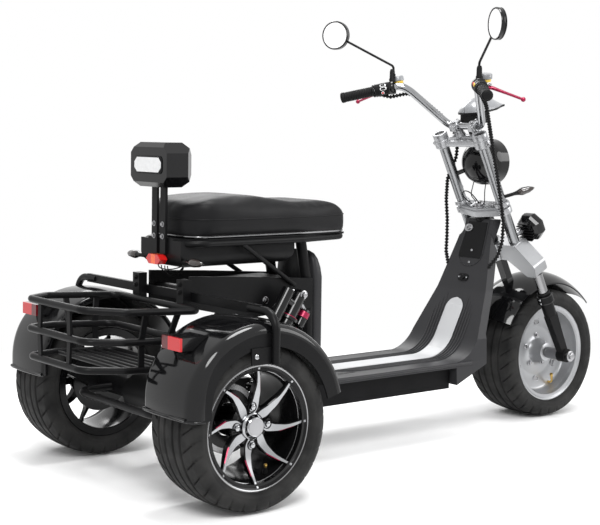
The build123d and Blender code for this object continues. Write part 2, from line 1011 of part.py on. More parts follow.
with BuildPart() as seat_tray:
    with BuildSketch(upright(tray_half_width)):
        with Locations((from_rear((tray_back_x + tray_front_x) / 2), (tray_low + pan_height) / 2)):
            Rectangle(tray_front_x - tray_back_x, pan_height - tray_low)
    extrude(amount=2 * tray_half_width)
    fillet(seat_tray.faces().sort_by(Axis.Z)[0].edges(), radius=tray_depth * tray_round)
    add(seat_pan.part, mode=Mode.SUBTRACT)
write(seat_tray, "seat_tray")

with BuildPart() as seat_cushion:
    with BuildSketch(lying(pan_height + pan_thickness)):
        with BuildLine():
            edge = [
                (from_rear(seat_back_x), seat_half_width),
                (from_rear(seat_taper_x), seat_half_width),
                (from_rear(seat_front_x), seat_front_half),
            ]
            FilletPolyline(
                *edge,
                *[(x, -y) for x, y in reversed(edge)],
                close=True,
                radius=seat_nose,
            )
        make_face()
    extrude(amount=seat_peak_rise)
    with BuildSketch(upright(seat_half_width)):
        with BuildLine():
            Polyline(
                (from_rear(seat_front_x), seat_base),
                (from_rear(seat_back_x), seat_base),
                (from_rear(seat_back_x), seat_base + seat_rear_rise),
                (from_rear(seat_shoulder_x), seat_base + seat_peak_rise),
                (from_rear(seat_peak_x), seat_base + seat_peak_rise),
                (from_rear(seat_step_x), seat_base + seat_step_rise),
                (from_rear(seat_brow_x), seat_base + seat_step_rise),
                (from_rear(seat_front_x), seat_base + seat_front_rise),
                close=True,
            )
        make_face()
    extrude(amount=2 * seat_half_width, mode=Mode.INTERSECT)
    with BuildSketch(facing_back(from_rear(seat_back_x))):
        with Locations((0, seat_base + seat_peak_rise / 2)):
            Rectangle(2 * seat_half_width, seat_peak_rise)
        chamfer(vertices().group_by(Axis.Z)[-1], length=seat_bevel)
    extrude(amount=-seat_front_x, mode=Mode.INTERSECT)
write(seat_cushion, "seat_cushion")

with BuildPart() as backrest_pad:
    back_middle = (back_low + back_high) / 2
    with BuildSketch(upright(back_half_width)):
        with Locations((from_rear(back_x) + back_depth / 2, back_middle)):
            Rectangle(back_depth, back_height)
        chamfer(vertices().group_by(Axis.X)[0], length=back_rear_bevel)
        chamfer(vertices().group_by(Axis.X)[-1], length=back_bevel)
    extrude(amount=2 * back_half_width)
    with BuildSketch(facing_back(from_rear(back_x))):
        with Locations((0, back_middle)):
            Rectangle(2 * back_half_width, back_height)
        chamfer(vertices(), length=back_corner_bevel)
    extrude(amount=-back_depth, mode=Mode.INTERSECT)
    with BuildSketch(lying(back_low)):
        with Locations((from_rear(back_x) + back_depth / 2, 0)):
            Rectangle(back_depth, 2 * back_half_width)
        chamfer(vertices().group_by(Axis.X)[-1], length=back_side_bevel)
    extrude(amount=back_height, mode=Mode.INTERSECT)
write(backrest_pad, "backrest_pad")

post_back_x = from_rear(post_x)
with BuildPart() as backrest_posts:
    for side in (1, -1):
        add_block(
            (post_back_x, post_back_x + post_thickness),
            (side * post_half_spacing - post_width / 2, side * post_half_spacing + post_width / 2),
            (pan_height - post_foot, back_low + back_bevel),
        )
    add(backrest_pad.part, mode=Mode.SUBTRACT)
write(backrest_posts, "backrest_posts")

with BuildPart() as backrest_reflector:
    with BuildSketch(facing_back(from_rear(back_x))):
        with Locations((0, back_middle)):
            Rectangle(2 * reflector_half_width, reflector_height)
        chamfer(vertices(), length=reflector_bevel)
    extrude(amount=reflector_thickness)
write(backrest_reflector, "backrest_reflector")

# Tail lamps

tail_x = from_rear(tray_back_x)
with BuildPart() as tail_light:
    with BuildSketch(facing_back(tail_x)):
        with Locations((0, tail_z)):
            Rectangle(2 * tail_half_width, tail_height)
        chamfer(vertices(), length=tail_point)
    extrude(amount=tail_depth)
write(tail_light, "tail_light")

with BuildPart() as rear_indicators:
    lamp_x = from_rear(rear_indicator_x)
    lamp_start = rear_indicator_half_span - rear_indicator_length
    add_rod((lamp_x, tail_half_width, tail_z), (lamp_x, lamp_start, tail_z), indicator_stalk_diameter)
    add(seat_tray.part, mode=Mode.SUBTRACT)
    with BuildSketch(Plane((lamp_x, lamp_start, tail_z), x_dir=(1, 0, 0), z_dir=(0, 1, 0))):
        RectangleRounded(indicator_depth, indicator_height, indicator_height * indicator_round)
    extrude(amount=rear_indicator_length, taper=indicator_taper)
    mirror(about=Plane.XZ)
write(rear_indicators, "rear_indicators")

# Rear fenders, hoop and basket


def fender_plane(centre, angle):
    """Plane for a fender profile: x is the radius at an angle up from ahead, y is to the left."""
    turn = radians(angle)
    return Plane(origin=centre, x_dir=(cos(turn), 0, sin(turn)), z_dir=(-sin(turn), 0, cos(turn)))


def draw_fender_section(radius):
    """Draw a fender's section in the open line: top, round shoulder and outer skirt."""
    outer_round = (radius, fender_outer_side - fender_round)
    outer_low = (radius - fender_round, fender_outer_side)
    inner_round = (radius - fender_shell, fender_outer_side - fender_round)
    inner_low = (radius - fender_round, fender_outer_side - fender_shell)
    Line((radius, fender_inner_side), outer_round)
    RadiusArc(outer_round, outer_low, fender_round)
    Polyline(
        outer_low,
        (radius - fender_skirt_depth, fender_outer_side),
        (radius - fender_skirt_depth, fender_outer_side - fender_shell),
        inner_low,
    )
    RadiusArc(inner_low, inner_round, -(fender_round - fender_shell))
    Polyline(inner_round, (radius - fender_shell, fender_inner_side), (radius, fender_inner_side))


fender_centre = Vector(from_rear(fender_ahead), 0, axle_height + fender_above)
fender_turn_way = Vector(cos(radians(fender_turn)), 0, sin(radians(fender_turn)))
tail_centre = fender_centre + fender_turn_way * (fender_radius - fender_tail_radius)
with BuildPart() as rear_fenders:
    for centre, radius, first, last in (
        (fender_centre, fender_radius, fender_start, fender_turn),
        (tail_centre, fender_tail_radius, fender_turn, fender_end),
    ):
        with BuildSketch(fender_plane(centre, first)):
            with BuildLine():
                draw_fender_section(radius)
            make_face()
        revolve(axis=Axis(centre, (0, -1, 0)), revolution_arc=last - first)
    with BuildSketch(fender_plane(tail_centre, fender_end)):
        with BuildLine():
            draw_fender_section(fender_tail_radius)
        make_face()
    extrude(amount=fender_drop)
    mirror(about=Plane.XZ)
write(rear_fenders, "rear_fenders")

with BuildPart() as fender_reflectors:
    reflector_front = tail_centre.X
    add_block(
        (from_rear(fender_reflector_x), reflector_front),
        (rear_track / 2 - fender_reflector_width / 2, rear_track / 2 + fender_reflector_width / 2),
        (fender_reflector_z - fender_reflector_height / 2, fender_reflector_z + fender_reflector_height / 2),
    )
    for centre, radius in ((fender_centre, fender_radius), (tail_centre, fender_tail_radius)):
        with BuildSketch(wheel_face(centre, 1, 0)):
            Circle(radius + seat_gap)
        extrude(amount=fender_outer_side, mode=Mode.SUBTRACT)
    mirror(about=Plane.XZ)
write(fender_reflectors, "fender_reflectors")

with BuildPart() as fender_hoop:
    x = from_rear(hoop_x)
    hoop_side = fender_outer_side + hoop_tube_diameter / 2
    hoop_bar_half = fender_outer_side - hoop_bar_inset
    add_tube(
        [
            (x, hoop_bar_half - hoop_bend, hoop_height),
            (x, hoop_side, hoop_height),
            (x, hoop_side, hoop_foot),
        ],
        hoop_bend,
        hoop_tube_diameter,
    )
    add_block(
        (x + hoop_tube_diameter / 2 - hoop_foot_length, x + hoop_tube_diameter / 2),
        (fender_outer_side, fender_outer_side + hoop_foot_plate),
        (hoop_foot, hoop_foot + hoop_foot_height),
    )
    mirror(about=Plane.XZ)
    add_block(
        (x - hoop_bar_thickness / 2, x + hoop_bar_thickness / 2),
        (-hoop_bar_half, hoop_bar_half),
        (hoop_height - hoop_bar_height / 2, hoop_height + hoop_bar_height / 2),
    )
write(fender_hoop, "fender_hoop")


def basket_point(ring, x, y):
    """Point on a basket ring's tilted plane, x from the rear axle."""
    return Vector(from_rear(x), y, ring["height"] - (x - ring["front"]) * basket_slope)


basket_slope = sin(radians(basket_tilt))
basket_rear = basket_tube_diameter / 2 - rear_overhang
basket_corners = []
for ring in basket_rings:
    basket_corners.append([
        basket_point(ring, ring["front"], ring["half"]),
        basket_point(ring, ring["corner"], ring["half"]),
        basket_point(ring, basket_rear, ring["rear_half"]),
        basket_point(ring, basket_rear, -ring["rear_half"]),
        basket_point(ring, ring["corner"], -ring["half"]),
        basket_point(ring, ring["front"], -ring["half"]),
    ])

with BuildPart() as basket:
    for corners in basket_corners:
        add_tube(corners, basket_bend, basket_tube_diameter, closed=True)
    for leg, share in basket_posts:
        ends = [ring[leg] + (ring[leg + 1] - ring[leg]) * share for ring in basket_corners]
        way = basket_corners[0][leg + 1] - basket_corners[0][leg]
        add_flat_bar(ends[0], ends[1], way, basket_post_width, basket_post_thickness)
        add_flat_bar(ends[1], ends[2], way, basket_post_width, basket_post_thickness)
    floor_front, floor_corner_point = basket_corners[2][0], basket_corners[2][1]
    for number in range(1, basket_slat_count + 1):
        left = floor_front + (floor_corner_point - floor_front) * (number / basket_slat_count)
        right = Vector(left.X, -left.Y, left.Z)
        add_rod(left, right, basket_slat_diameter)
    front = basket_rings[0]["front"]
    plate_half = basket_plate_width / 2
    for side in (1, -1):
        add_block(
            (from_rear(front), from_rear(hoop_x) - hoop_bar_thickness / 2),
            (side * basket_plate_side - plate_half, side * basket_plate_side + plate_half),
            (basket_rings[0]["height"] - basket_tube_diameter, basket_plate_high),
        )
write(basket, "basket")

with BuildPart() as rear_bumper:
    end_x = rear_axle_x - axle_tube_diameter / 2
    add_tube(
        [
            (end_x, bumper_half, axle_height),
            (from_rear(bumper_x), bumper_half, axle_height),
            (from_rear(bumper_x), -bumper_half, axle_height),
            (end_x, -bumper_half, axle_height),
        ],
        bumper_bend,
        bumper_diameter,
    )
write(rear_bumper, "rear_bumper")

# Fork and front axle

with BuildPart() as fork_crown:
    crown_face = Plane(
        origin=on_fork(crown_back, 0, 0), x_dir=(0, 1, 0), z_dir=(fork_rise, 0, fork_back)
    )
    tip = leg_half_spacing + crown_tip_margin
    with BuildSketch(crown_face):
        with BuildLine():
            edge = [
                (crown_flat, crown_middle_low),
                (leg_half_spacing - crown_tip_margin, crown_tip_low),
                (tip, crown_tip_low),
                (tip, crown_tip_high),
                (tube_half_spacing + crown_tip_margin, crown_middle_high),
            ]
            Polyline(*edge, *[(-y, s) for y, s in reversed(edge)], close=True)
        make_face()
        fillet(vertices().filter_by(lambda v: abs(v.Y) > leg_half_spacing), radius=crown_round)
    extrude(amount=crown_front - crown_back)
    with BuildSketch(fork_plane(-fork_offset, 0, crown_middle_low)):
        Circle(stem_boss_radius)
        with Locations((fork_offset / 2, 0)):
            Rectangle(fork_offset, 2 * stem_boss_radius)
    extrude(amount=crown_middle_high - crown_middle_low)
    with BuildSketch(fork_plane(-fork_offset, 0, crown_middle_low)):
        Circle(stem_diameter / 2)
    extrude(amount=upper_plate_low - crown_middle_low)
write(fork_crown, "fork_crown")

bar_plane = Plane(origin=on_fork(bar_forward, 0, bar_along), x_dir=(1, 0, 0), z_dir=(0, 1, 0))
tube_places = [(0, tube_half_spacing), (0, -tube_half_spacing)]
riser_places = [(bar_forward, riser_half_spacing), (bar_forward, -riser_half_spacing)]
clamp_radius = fork_tube_diameter / 2 + clamp_wall
with BuildPart() as fork_clamps:
    with BuildSketch(fork_plane(0, 0, upper_plate_low)):
        with Locations(*tube_places):
            Circle(clamp_radius)
        with Locations((-fork_offset, 0)):
            Circle(stem_boss_radius)
        make_hull()
    extrude(amount=upper_plate_thickness)
    with BuildSketch(fork_plane(0, 0, top_clamp_low)):
        with Locations(*tube_places):
            Circle(clamp_radius)
        Rectangle(2 * web_half_width, 2 * tube_half_spacing)
        for ends in (riser_places, [tube_places[0], riser_places[0]], [tube_places[1], riser_places[1]]):
            with BuildSketch(mode=Mode.PRIVATE) as arm:
                with Locations(*ends):
                    Circle(riser_round)
                make_hull()
            add(arm.sketch)
    extrude(amount=top_clamp_thickness)
    riser_low = top_clamp_low + top_clamp_thickness
    with BuildSketch(fork_plane(0, 0, riser_low)):
        with Locations(*riser_places):
            Rectangle(bar_diameter + 2 * riser_wall, riser_width)
    extrude(amount=bar_along + bar_diameter / 2 + riser_wall - riser_low)
    with BuildSketch(bar_plane):
        Circle(bar_diameter / 2 + seat_gap)
    extrude(amount=tube_half_spacing, both=True, mode=Mode.SUBTRACT)
    with BuildSketch(fork_plane(0, 0, upper_plate_low)):
        with Locations(*tube_places):
            Circle(fork_tube_diameter / 2 + seat_gap)
    extrude(amount=fork_tube_top, mode=Mode.SUBTRACT)
write(fork_clamps, "fork_clamps")

with BuildPart() as fork_tubes:
    with BuildSketch(fork_plane(0, 0, crown_middle_high)):
        with Locations((0, tube_half_spacing), (0, -tube_half_spacing)):
            Circle(fork_tube_diameter / 2)
    extrude(amount=fork_tube_top - crown_middle_high)
write(fork_tubes, "fork_tubes")

with BuildPart() as fork_stanchions:
    with BuildSketch(fork_plane(0, 0, leg_top)):
        with Locations((0, leg_half_spacing), (0, -leg_half_spacing)):
            Circle(stanchion_diameter / 2)
    extrude(amount=crown_tip_low - leg_top)
write(fork_stanchions, "fork_stanchions")

leg_side = Plane(
    origin=on_fork(0, leg_half_spacing, 0), x_dir=(fork_rise, 0, fork_back), z_dir=(0, -1, 0)
)
with BuildPart() as fork_legs:
    with BuildSketch(fork_plane(0, leg_half_spacing, leg_top - leg_sleeve_length)):
        Circle(leg_diameter / 2)
    extrude(amount=leg_sleeve_length)
    with BuildSketch(fork_plane(0, leg_half_spacing, leg_top - leg_clamp_length)):
        Circle(leg_clamp_diameter / 2)
    extrude(amount=leg_clamp_length)
    with BuildSketch(leg_side):
        with BuildLine():
            Polyline(
                (-leg_arm_low_width / 2, 0),
                (leg_arm_low_width / 2, 0),
                (leg_arm_high_width / 2, leg_top - leg_sleeve_length),
                (-leg_arm_high_width / 2, leg_top - leg_sleeve_length),
                close=True,
            )
        make_face()
    extrude(amount=leg_arm_thickness / 2, both=True)
    with BuildSketch(wheel_face(front_centre, 1, leg_half_spacing)):
        Circle(axle_clamp_diameter / 2)
    extrude(amount=axle_clamp_width / 2, both=True)
    with BuildSketch(wheel_face(front_centre, 1, 0)):
        Circle(front_axle_diameter / 2 + seat_gap)
    extrude(amount=2 * leg_half_spacing, mode=Mode.SUBTRACT)
    mirror(about=Plane.XZ)
write(fork_legs, "fork_legs")

with BuildPart() as front_axle:
    with BuildSketch(wheel_face(front_centre, 1, 0)):
        Circle(front_axle_diameter / 2)
    extrude(amount=leg_half_spacing + axle_clamp_width, both=True)
    for side in (1, -1):
        with BuildSketch(wheel_face(front_centre, side, front_hub_half_length + axle_tube_gap)):
            Circle(front_axle_diameter)
        extrude(amount=leg_half_spacing - axle_clamp_width / 2 - front_hub_half_length - axle_tube_gap)
write(front_axle, "front_axle")

with BuildPart() as front_fender:
    half = front_fender_half_width
    low = front_fender_radius - front_fender_drop
    with BuildSketch(fender_plane(front_centre, front_fender_start)):
        with BuildLine():
            ThreePointArc((low, half), (front_fender_radius, 0), (low, -half))
            Line((low, -half), (low - front_fender_shell, -half))
            ThreePointArc(
                (low - front_fender_shell, -half),
                (front_fender_radius - front_fender_shell, 0),
                (low - front_fender_shell, half),
            )
            Line((low - front_fender_shell, half), (low, half))
        make_face()
    revolve(axis=Axis(front_centre, (0, -1, 0)), revolution_arc=front_fender_end - front_fender_start)
    with BuildSketch(fork_plane(0, 0, front_fender_radius - front_fender_shell)):
        Rectangle(2 * front_fender_stay, 2 * front_fender_stay)
    extrude(amount=crown_middle_low - front_fender_radius + front_fender_shell)
write(front_fender, "front_fender")

# Handlebar and controls

bar_middle = on_fork(bar_forward, 0, bar_along)


def bar_point(back, side, rise):
    """Point given from the middle of the handlebar's clamp."""
    return bar_middle + Vector(-back, side, rise)


bar_peak = bar_point(bar_peak_back, bar_peak_side, bar_peak_rise)
bar_end = bar_point(bar_end_back, bar_end_side, bar_end_rise)
grip_way = (bar_end - bar_peak).normalized()
grip_ahead = Vector(grip_way.Y, -grip_way.X, 0).normalized()
grip_start = bar_end - grip_way * grip_length
housing_end = grip_start - grip_way * housing_grip_gap
housing_start = housing_end - grip_way * housing_length
ring_end = housing_start - grip_way * housing_grip_gap
ring_start = ring_end - grip_way * ring_length

with BuildPart() as handlebar:
    add_tube(
        [bar_middle, bar_point(0, bar_straight, 0), bar_peak, bar_end],
        [bar_bend_inner, bar_bend_outer],
        bar_diameter,
    )
    mirror(about=Plane.XZ)
write(handlebar, "handlebar")


def add_sleeve(start, end, diameter):
    """Add a sleeve that fits around the handlebar to the open part."""
    with BuildSketch(across(start, end)) as section:
        Circle(diameter / 2)
        Circle(bar_diameter / 2 + seat_gap, mode=Mode.SUBTRACT)
    extrude(section.sketch, amount=(end - start).length)


with BuildPart() as grips:
    add_sleeve(grip_start, bar_end, grip_diameter)
    mirror(about=Plane.XZ)
write(grips, "grips")

with BuildPart() as switch_housings:
    add_sleeve(housing_start, housing_end, housing_diameter)
    mirror(about=Plane.XZ)
write(switch_housings, "switch_housings")

with BuildPart() as levers:
    add_sleeve(ring_start, ring_end, ring_diameter)
    ring_middle = (ring_start + ring_end) / 2
    lever_turn = ring_middle + grip_ahead * lever_reach
    add_tube(
        [
            ring_middle + grip_ahead * (bar_diameter / 2 + lever_diameter / 2),
            lever_turn,
            bar_point(lever_tip_back, lever_tip_side, lever_tip_rise),
        ],
        lever_bend,
        lever_diameter,
    )
    mirror(about=Plane.XZ)
write(levers, "levers")

mirror_centre = bar_point(mirror_back, mirror_side, mirror_rise)
mirror_way = Vector(cos(radians(mirror_turn)), sin(radians(mirror_turn)), 0)
with BuildPart() as mirrors:
    stalk_foot = ring_middle + Vector(0, 0, ring_diameter / 2)
    add_tube(
        [
            stalk_foot,
            stalk_foot + Vector(0, 0, mirror_stalk_rise),
            mirror_centre + mirror_way * (mirror_depth / 2),
        ],
        mirror_stalk_bend,
        mirror_stalk_diameter,
    )
    add_rod(stalk_foot, stalk_foot + Vector(0, 0, mirror_stalk_rise / 2), mirror_boot_diameter)
    add_rod(mirror_centre, mirror_centre + mirror_way * mirror_depth, mirror_diameter)
    mirror(about=Plane.XZ)
write(mirrors, "mirrors")

with BuildPart() as mirror_glass:
    add_rod(mirror_centre, mirror_centre - mirror_way * mirror_glass_thickness, mirror_glass_diameter)
    mirror(about=Plane.XZ)
write(mirror_glass, "mirror_glass")

# Lamps and instrument pod

lamp_x = from_rear(headlight_x)
lamp_front = lamp_x + headlight_barrel
lens_radius = headlight_radius - headlight_bezel
with BuildPart() as headlight:
    with BuildSketch(upright(0)):
        with BuildLine():
            RadiusArc(
                (lamp_x - headlight_radius, headlight_z),
                (lamp_x, headlight_z + headlight_radius),
                headlight_radius,
            )
            Polyline(
                (lamp_x, headlight_z + headlight_radius),
                (lamp_front + headlight_lens_thickness, headlight_z + headlight_radius),
                (lamp_front + headlight_lens_thickness, headlight_z + lens_radius + seat_gap),
                (lamp_front, headlight_z + lens_radius + seat_gap),
                (lamp_front, headlight_z),
                (lamp_x - headlight_radius, headlight_z),
            )
        make_face()
    revolve(axis=Axis((0, 0, headlight_z), (1, 0, 0)))
    arm_along = (headlight_z - axle_height) / fork_rise - headlight_arm_drop
    for side in (1, -1):
        add_rod(
            on_fork(0, side * tube_half_spacing, arm_along),
            (lamp_x, 0, headlight_z),
            headlight_arm_diameter,
        )
    add(fork_tubes.part, mode=Mode.SUBTRACT)
write(headlight, "headlight")

with BuildPart() as headlight_lens:
    add_rod(
        (lamp_front, 0, headlight_z),
        (lamp_front + headlight_lens_thickness, 0, headlight_z),
        2 * lens_radius,
    )
write(headlight_lens, "headlight_lens")

with BuildPart() as instrument_pod:
    with BuildSketch(upright(pod_half_width)):
        with BuildLine():
            back_rim = (from_rear(pod_back_x), pod_back_z)
            front_rim_point = (from_rear(pod_front_x), pod_front_z)
            ThreePointArc(back_rim, (from_rear(pod_crown_x), pod_crown_z), front_rim_point)
            Polyline(
                front_rim_point,
                (from_rear(pod_front_x), pod_front_z - pod_lip),
                (from_rear(pod_belly_x), pod_belly_z),
                (from_rear(pod_back_x), pod_back_z - pod_lip),
                back_rim,
            )
        make_face()
    extrude(amount=2 * pod_half_width)
    with BuildSketch(lying(pod_belly_z)):
        with Locations((from_rear((pod_back_x + pod_front_x) / 2), 0)):
            RectangleRounded(pod_front_x - pod_back_x, 2 * pod_half_width, pod_corner)
    extrude(amount=pod_crown_z, mode=Mode.INTERSECT)
    with BuildSketch(fork_plane(bar_forward + riser_round + pod_post_thickness / 2, 0, top_clamp_low)):
        Rectangle(pod_post_thickness, 2 * pod_post_half_width)
    extrude(amount=pod_post_length)
write(instrument_pod, "instrument_pod")

with BuildPart() as spot_lights:
    spot_plane = Plane(
        origin=on_fork(spot_forward - spot_depth / 2, spot_side, spot_along),
        x_dir=(0, 1, 0),
        z_dir=(fork_rise, 0, fork_back),
    )
    with BuildSketch(spot_plane):
        Rectangle(spot_size, spot_size)
        chamfer(vertices(), length=spot_corner)
    extrude(amount=spot_depth)
    add_rod(
        on_fork(fork_tube_diameter / 2, tube_half_spacing, spot_along),
        on_fork(spot_forward, tube_half_spacing, spot_along),
        spot_arm,
    )
    mirror(about=Plane.XZ)
write(spot_lights, "spot_lights")

with BuildPart() as front_indicators:
    turn = radians(indicator_turn)
    start = fork_tube_diameter / 2
    reach = start + indicator_stalk
    stalk_start = on_fork(start * cos(turn), tube_half_spacing + start * sin(turn), indicator_along)
    stalk_end = on_fork(reach * cos(turn), tube_half_spacing + reach * sin(turn), indicator_along)
    add_rod(stalk_start, stalk_end, indicator_stalk_diameter)
    with BuildSketch(Plane(origin=stalk_end, z_dir=stalk_end - stalk_start)):
        RectangleRounded(indicator_depth, indicator_height, indicator_height * indicator_round)
    extrude(amount=indicator_length, taper=indicator_taper)
    mirror(about=Plane.XZ)
write(front_indicators, "front_indicators")

# Control cables from the handlebar to the head

with BuildPart() as control_looms:
    housing_middle = (housing_start + housing_end) / 2
    left_start = housing_middle - Vector(0, 0, housing_diameter * loom_seat)
    right_start = Vector(left_start.X, -left_start.Y, left_start.Z)
    for start, points in ((left_start, left_loom_points), (right_start, right_loom_points)):
        add_tube([start] + [Vector(from_rear(x), y, z) for x, y, z in points], loom_bend, loom_diameter)
write(control_looms, "control_looms")
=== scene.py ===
"""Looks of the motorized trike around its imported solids. Shapes are in millimetres until they are built."""
import json
import math

import bmesh
import bpy
from mathutils import Matrix, Vector
from mathutils.bvhtree import BVHTree
from mathutils.geometry import convex_hull_2d


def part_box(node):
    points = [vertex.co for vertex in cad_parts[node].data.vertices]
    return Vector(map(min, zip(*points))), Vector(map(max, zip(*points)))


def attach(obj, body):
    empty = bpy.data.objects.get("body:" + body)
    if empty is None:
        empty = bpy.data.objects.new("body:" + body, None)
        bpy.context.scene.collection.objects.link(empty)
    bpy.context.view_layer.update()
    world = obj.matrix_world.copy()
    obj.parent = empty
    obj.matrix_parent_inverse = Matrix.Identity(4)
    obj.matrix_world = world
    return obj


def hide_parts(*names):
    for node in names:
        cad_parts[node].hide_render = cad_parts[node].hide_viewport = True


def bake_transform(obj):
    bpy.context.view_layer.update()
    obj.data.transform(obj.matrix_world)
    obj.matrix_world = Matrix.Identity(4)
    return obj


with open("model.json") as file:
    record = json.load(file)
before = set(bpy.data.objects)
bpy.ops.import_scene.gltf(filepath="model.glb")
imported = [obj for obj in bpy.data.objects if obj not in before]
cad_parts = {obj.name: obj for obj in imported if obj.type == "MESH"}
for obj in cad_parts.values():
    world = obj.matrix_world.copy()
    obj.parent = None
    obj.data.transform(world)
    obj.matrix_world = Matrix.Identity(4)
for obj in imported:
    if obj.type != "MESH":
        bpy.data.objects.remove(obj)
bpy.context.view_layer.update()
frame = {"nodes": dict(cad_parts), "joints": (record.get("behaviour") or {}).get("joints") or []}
nodes = frame["nodes"]

MM = 0.001
X, Y, Z = Vector((1, 0, 0)), Vector((0, 1, 0)), Vector((0, 0, 1))
SIDES = (("left", 1), ("right", -1))


def box(node):
    """Low and high corner of a solid's box."""
    return [Vector(corner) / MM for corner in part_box(node)]


def box_centre(node):
    """Middle of a solid's box."""
    low, high = box(node)
    return (low + high) / 2


FRONT = box_centre("front_tyre")
REAR = box_centre("rear_tyre_left")
TRACK_HALF, TYRE_RADIUS = REAR.y, REAR.z
REAR.y = 0
FENDER_SIDE = box("rear_fenders")[1].y
STEER = next(joint for joint in frame["joints"] if joint["name"] == "steer")
FORK_UP = Vector(STEER["axis"]).normalized()
FORK_AHEAD = Vector((FORK_UP.z, 0, -FORK_UP.x))


def from_rear(x, y, z):
    """Point ahead of the rear axle, to the left and above the ground."""
    return Vector((REAR.x + x, y, z))


def on_fork(ahead, side, along):
    """Point ahead of the fork line, to the left and up it from the front axle."""
    return FRONT + FORK_AHEAD * ahead + Y * side + FORK_UP * along


def wheel_way(angle):
    """Direction out from a wheel's axis, at an angle above straight ahead."""
    return X * math.cos(angle) + Z * math.sin(angle)


def mirror(point):
    """The same point on the other side of the vehicle."""
    return Vector((point.x, -point.y, point.z))


def circle(radius, count, turn=0.0):
    """Points round a circle, as (x, y)."""
    angles = [2 * math.pi * number / count + turn for number in range(count)]
    return [(radius * math.cos(angle), radius * math.sin(angle)) for angle in angles]


def rounded_outline(width, height, radius, steps=5):
    """Points round a rectangle with round corners, as (x, y)."""
    points = []
    for quarter, (right, up) in enumerate(((1, 1), (-1, 1), (-1, -1), (1, -1))):
        for number in range(steps + 1):
            angle = math.pi / 2 * (quarter + number / steps)
            x = right * (width / 2 - radius) + radius * math.cos(angle)
            points.append((x, up * (height / 2 - radius) + radius * math.sin(angle)))
    return points


def smooth_step(low, high, value):
    """Rise smoothly from 0 at low to 1 at high."""
    share = min(max((value - low) / (high - low), 0), 1)
    return share * share * (3 - 2 * share)


def blend_between(pairs, at):
    """Read a smooth line through (place, value) pairs at a place."""
    for (x0, y0), (x1, y1) in zip(pairs, pairs[1:]):
        if at <= x1:
            return y0 + (y1 - y0) * smooth_step(x0, x1, at)
    return pairs[-1][1]


# Materials

MATERIALS = {}


class Finish:
    """A procedural material: a Principled shader with short calls to add and join nodes."""

    def __init__(self, name, colour, roughness, metallic=0.0, coat=0.0, specular=0.5):
        self.material = MATERIALS[name] = bpy.data.materials.new(name)
        self.material.use_nodes = True
        self.tree = self.material.node_tree
        self.shader = self.tree.nodes["Principled BSDF"]
        self.colour = colour
        values = {
            "Base Color": (*colour, 1), "Roughness": roughness, "Metallic": metallic, "Coat Weight": coat,
            "Coat Roughness": 0.04, "Specular IOR Level": specular,
        }
        for socket, value in values.items():
            self.shader.inputs[socket].default_value = value
        self.place = self.add("ShaderNodeTexCoord").outputs["Object"]

    def feed(self, socket, value):
        """Link a socket to another one, or give it a value."""
        if isinstance(value, bpy.types.NodeSocket):
            self.tree.links.new(value, socket)
        else:
            socket.default_value = value

    def set(self, socket, value):
        """Link a value to one of the shader's sockets."""
        self.feed(self.shader.inputs[socket], value)

    def add(self, kind, **inputs):
        """Add a node, and set or link its inputs by name."""
        node = self.tree.nodes.new(kind)
        for key, value in inputs.items():
            self.feed(node.inputs[key.replace("_", " ")], value)
        return node

    def noise(self, scale, detail=3.0):
        """Noise over the object, in waves per metre."""
        return self.add("ShaderNodeTexNoise", Vector=self.place, Scale=scale, Detail=detail).outputs["Fac"]

    def cells(self, scale, feature="F1"):
        """Distances in a pattern of cells, in cells per metre."""
        node = self.add("ShaderNodeTexVoronoi", Vector=self.place, Scale=scale)
        node.feature = feature
        return node.outputs["Distance"]

    def spread(self, value, low, high):
        """Map the middle of a noise to a range."""
        node = self.add("ShaderNodeMapRange", Value=value, From_Min=0.3, From_Max=0.7, To_Min=low, To_Max=high)
        return node.outputs["Result"]

    def math(self, operation, *values):
        """Work out a number from others."""
        node = self.add("ShaderNodeMath")
        node.operation = operation
        for socket, value in zip(node.inputs, values):
            self.feed(socket, value)
        return node.outputs["Value"]

    def mix(self, factor, first, second):
        """Mix two colours."""
        node = self.add("ShaderNodeMix", Factor=factor)
        node.data_type = "RGBA"
        sockets = [socket for socket in node.inputs if socket.type == "RGBA"]
        for socket, colour in zip(sockets, (first, second)):
            self.feed(socket, (*colour, 1) if isinstance(colour, tuple) else colour)
        return next(socket for socket in node.outputs if socket.type == "RGBA")

    def tint(self, amount, scale=9):
        """Vary the colour softly over the object."""
        light = tuple(min(1, part * (1 + amount) + 0.004 * amount) for part in self.colour)
        dark = tuple(part * (1 - amount) for part in self.colour)
        self.set("Base Color", self.mix(self.noise(scale), dark, light))
        return self

    def worn(self, low, high, scale, detail=4):
        """Vary the roughness."""
        self.set("Roughness", self.spread(self.noise(scale, detail), low, high))
        return self

    def bump(self, height, strength, distance):
        """Raise the surface by a height, in metres."""
        node = self.add("ShaderNodeBump", Height=height, Strength=strength, Distance=distance)
        self.set("Normal", node.outputs["Normal"])
        return self

    def grain(self, scale, strength, distance):
        """Raise a fine moulded or cast grain."""
        return self.bump(self.noise(scale, 2), strength, distance)


def leatherette():
    """Black seat cover with a fine pebble grain."""
    cover = Finish("leatherette", (0.0062, 0.0062, 0.0068), 0.45, specular=0.14).tint(0.25, 6)
    pebbles = cover.math("MULTIPLY", cover.cells(520, "DISTANCE_TO_EDGE"), 3.0)
    cover.worn(0.42, 0.5, 9, 2).bump(cover.math("ADD", pebbles, cover.noise(60)), 0.16, 0.0006)


def tyre_rubber():
    """Dark road rubber, greyer where the tread has worn."""
    rubber = Finish("tyre", (0.008, 0.008, 0.008), 0.62, specular=0.09)
    dust = rubber.spread(rubber.noise(14, 5), 0, 1)
    rubber.set("Base Color", rubber.mix(dust, (0.011, 0.011, 0.0112), (0.027, 0.0266, 0.026)))
    rubber.worn(0.48, 0.7, 40).grain(900, 0.2, 0.0006)


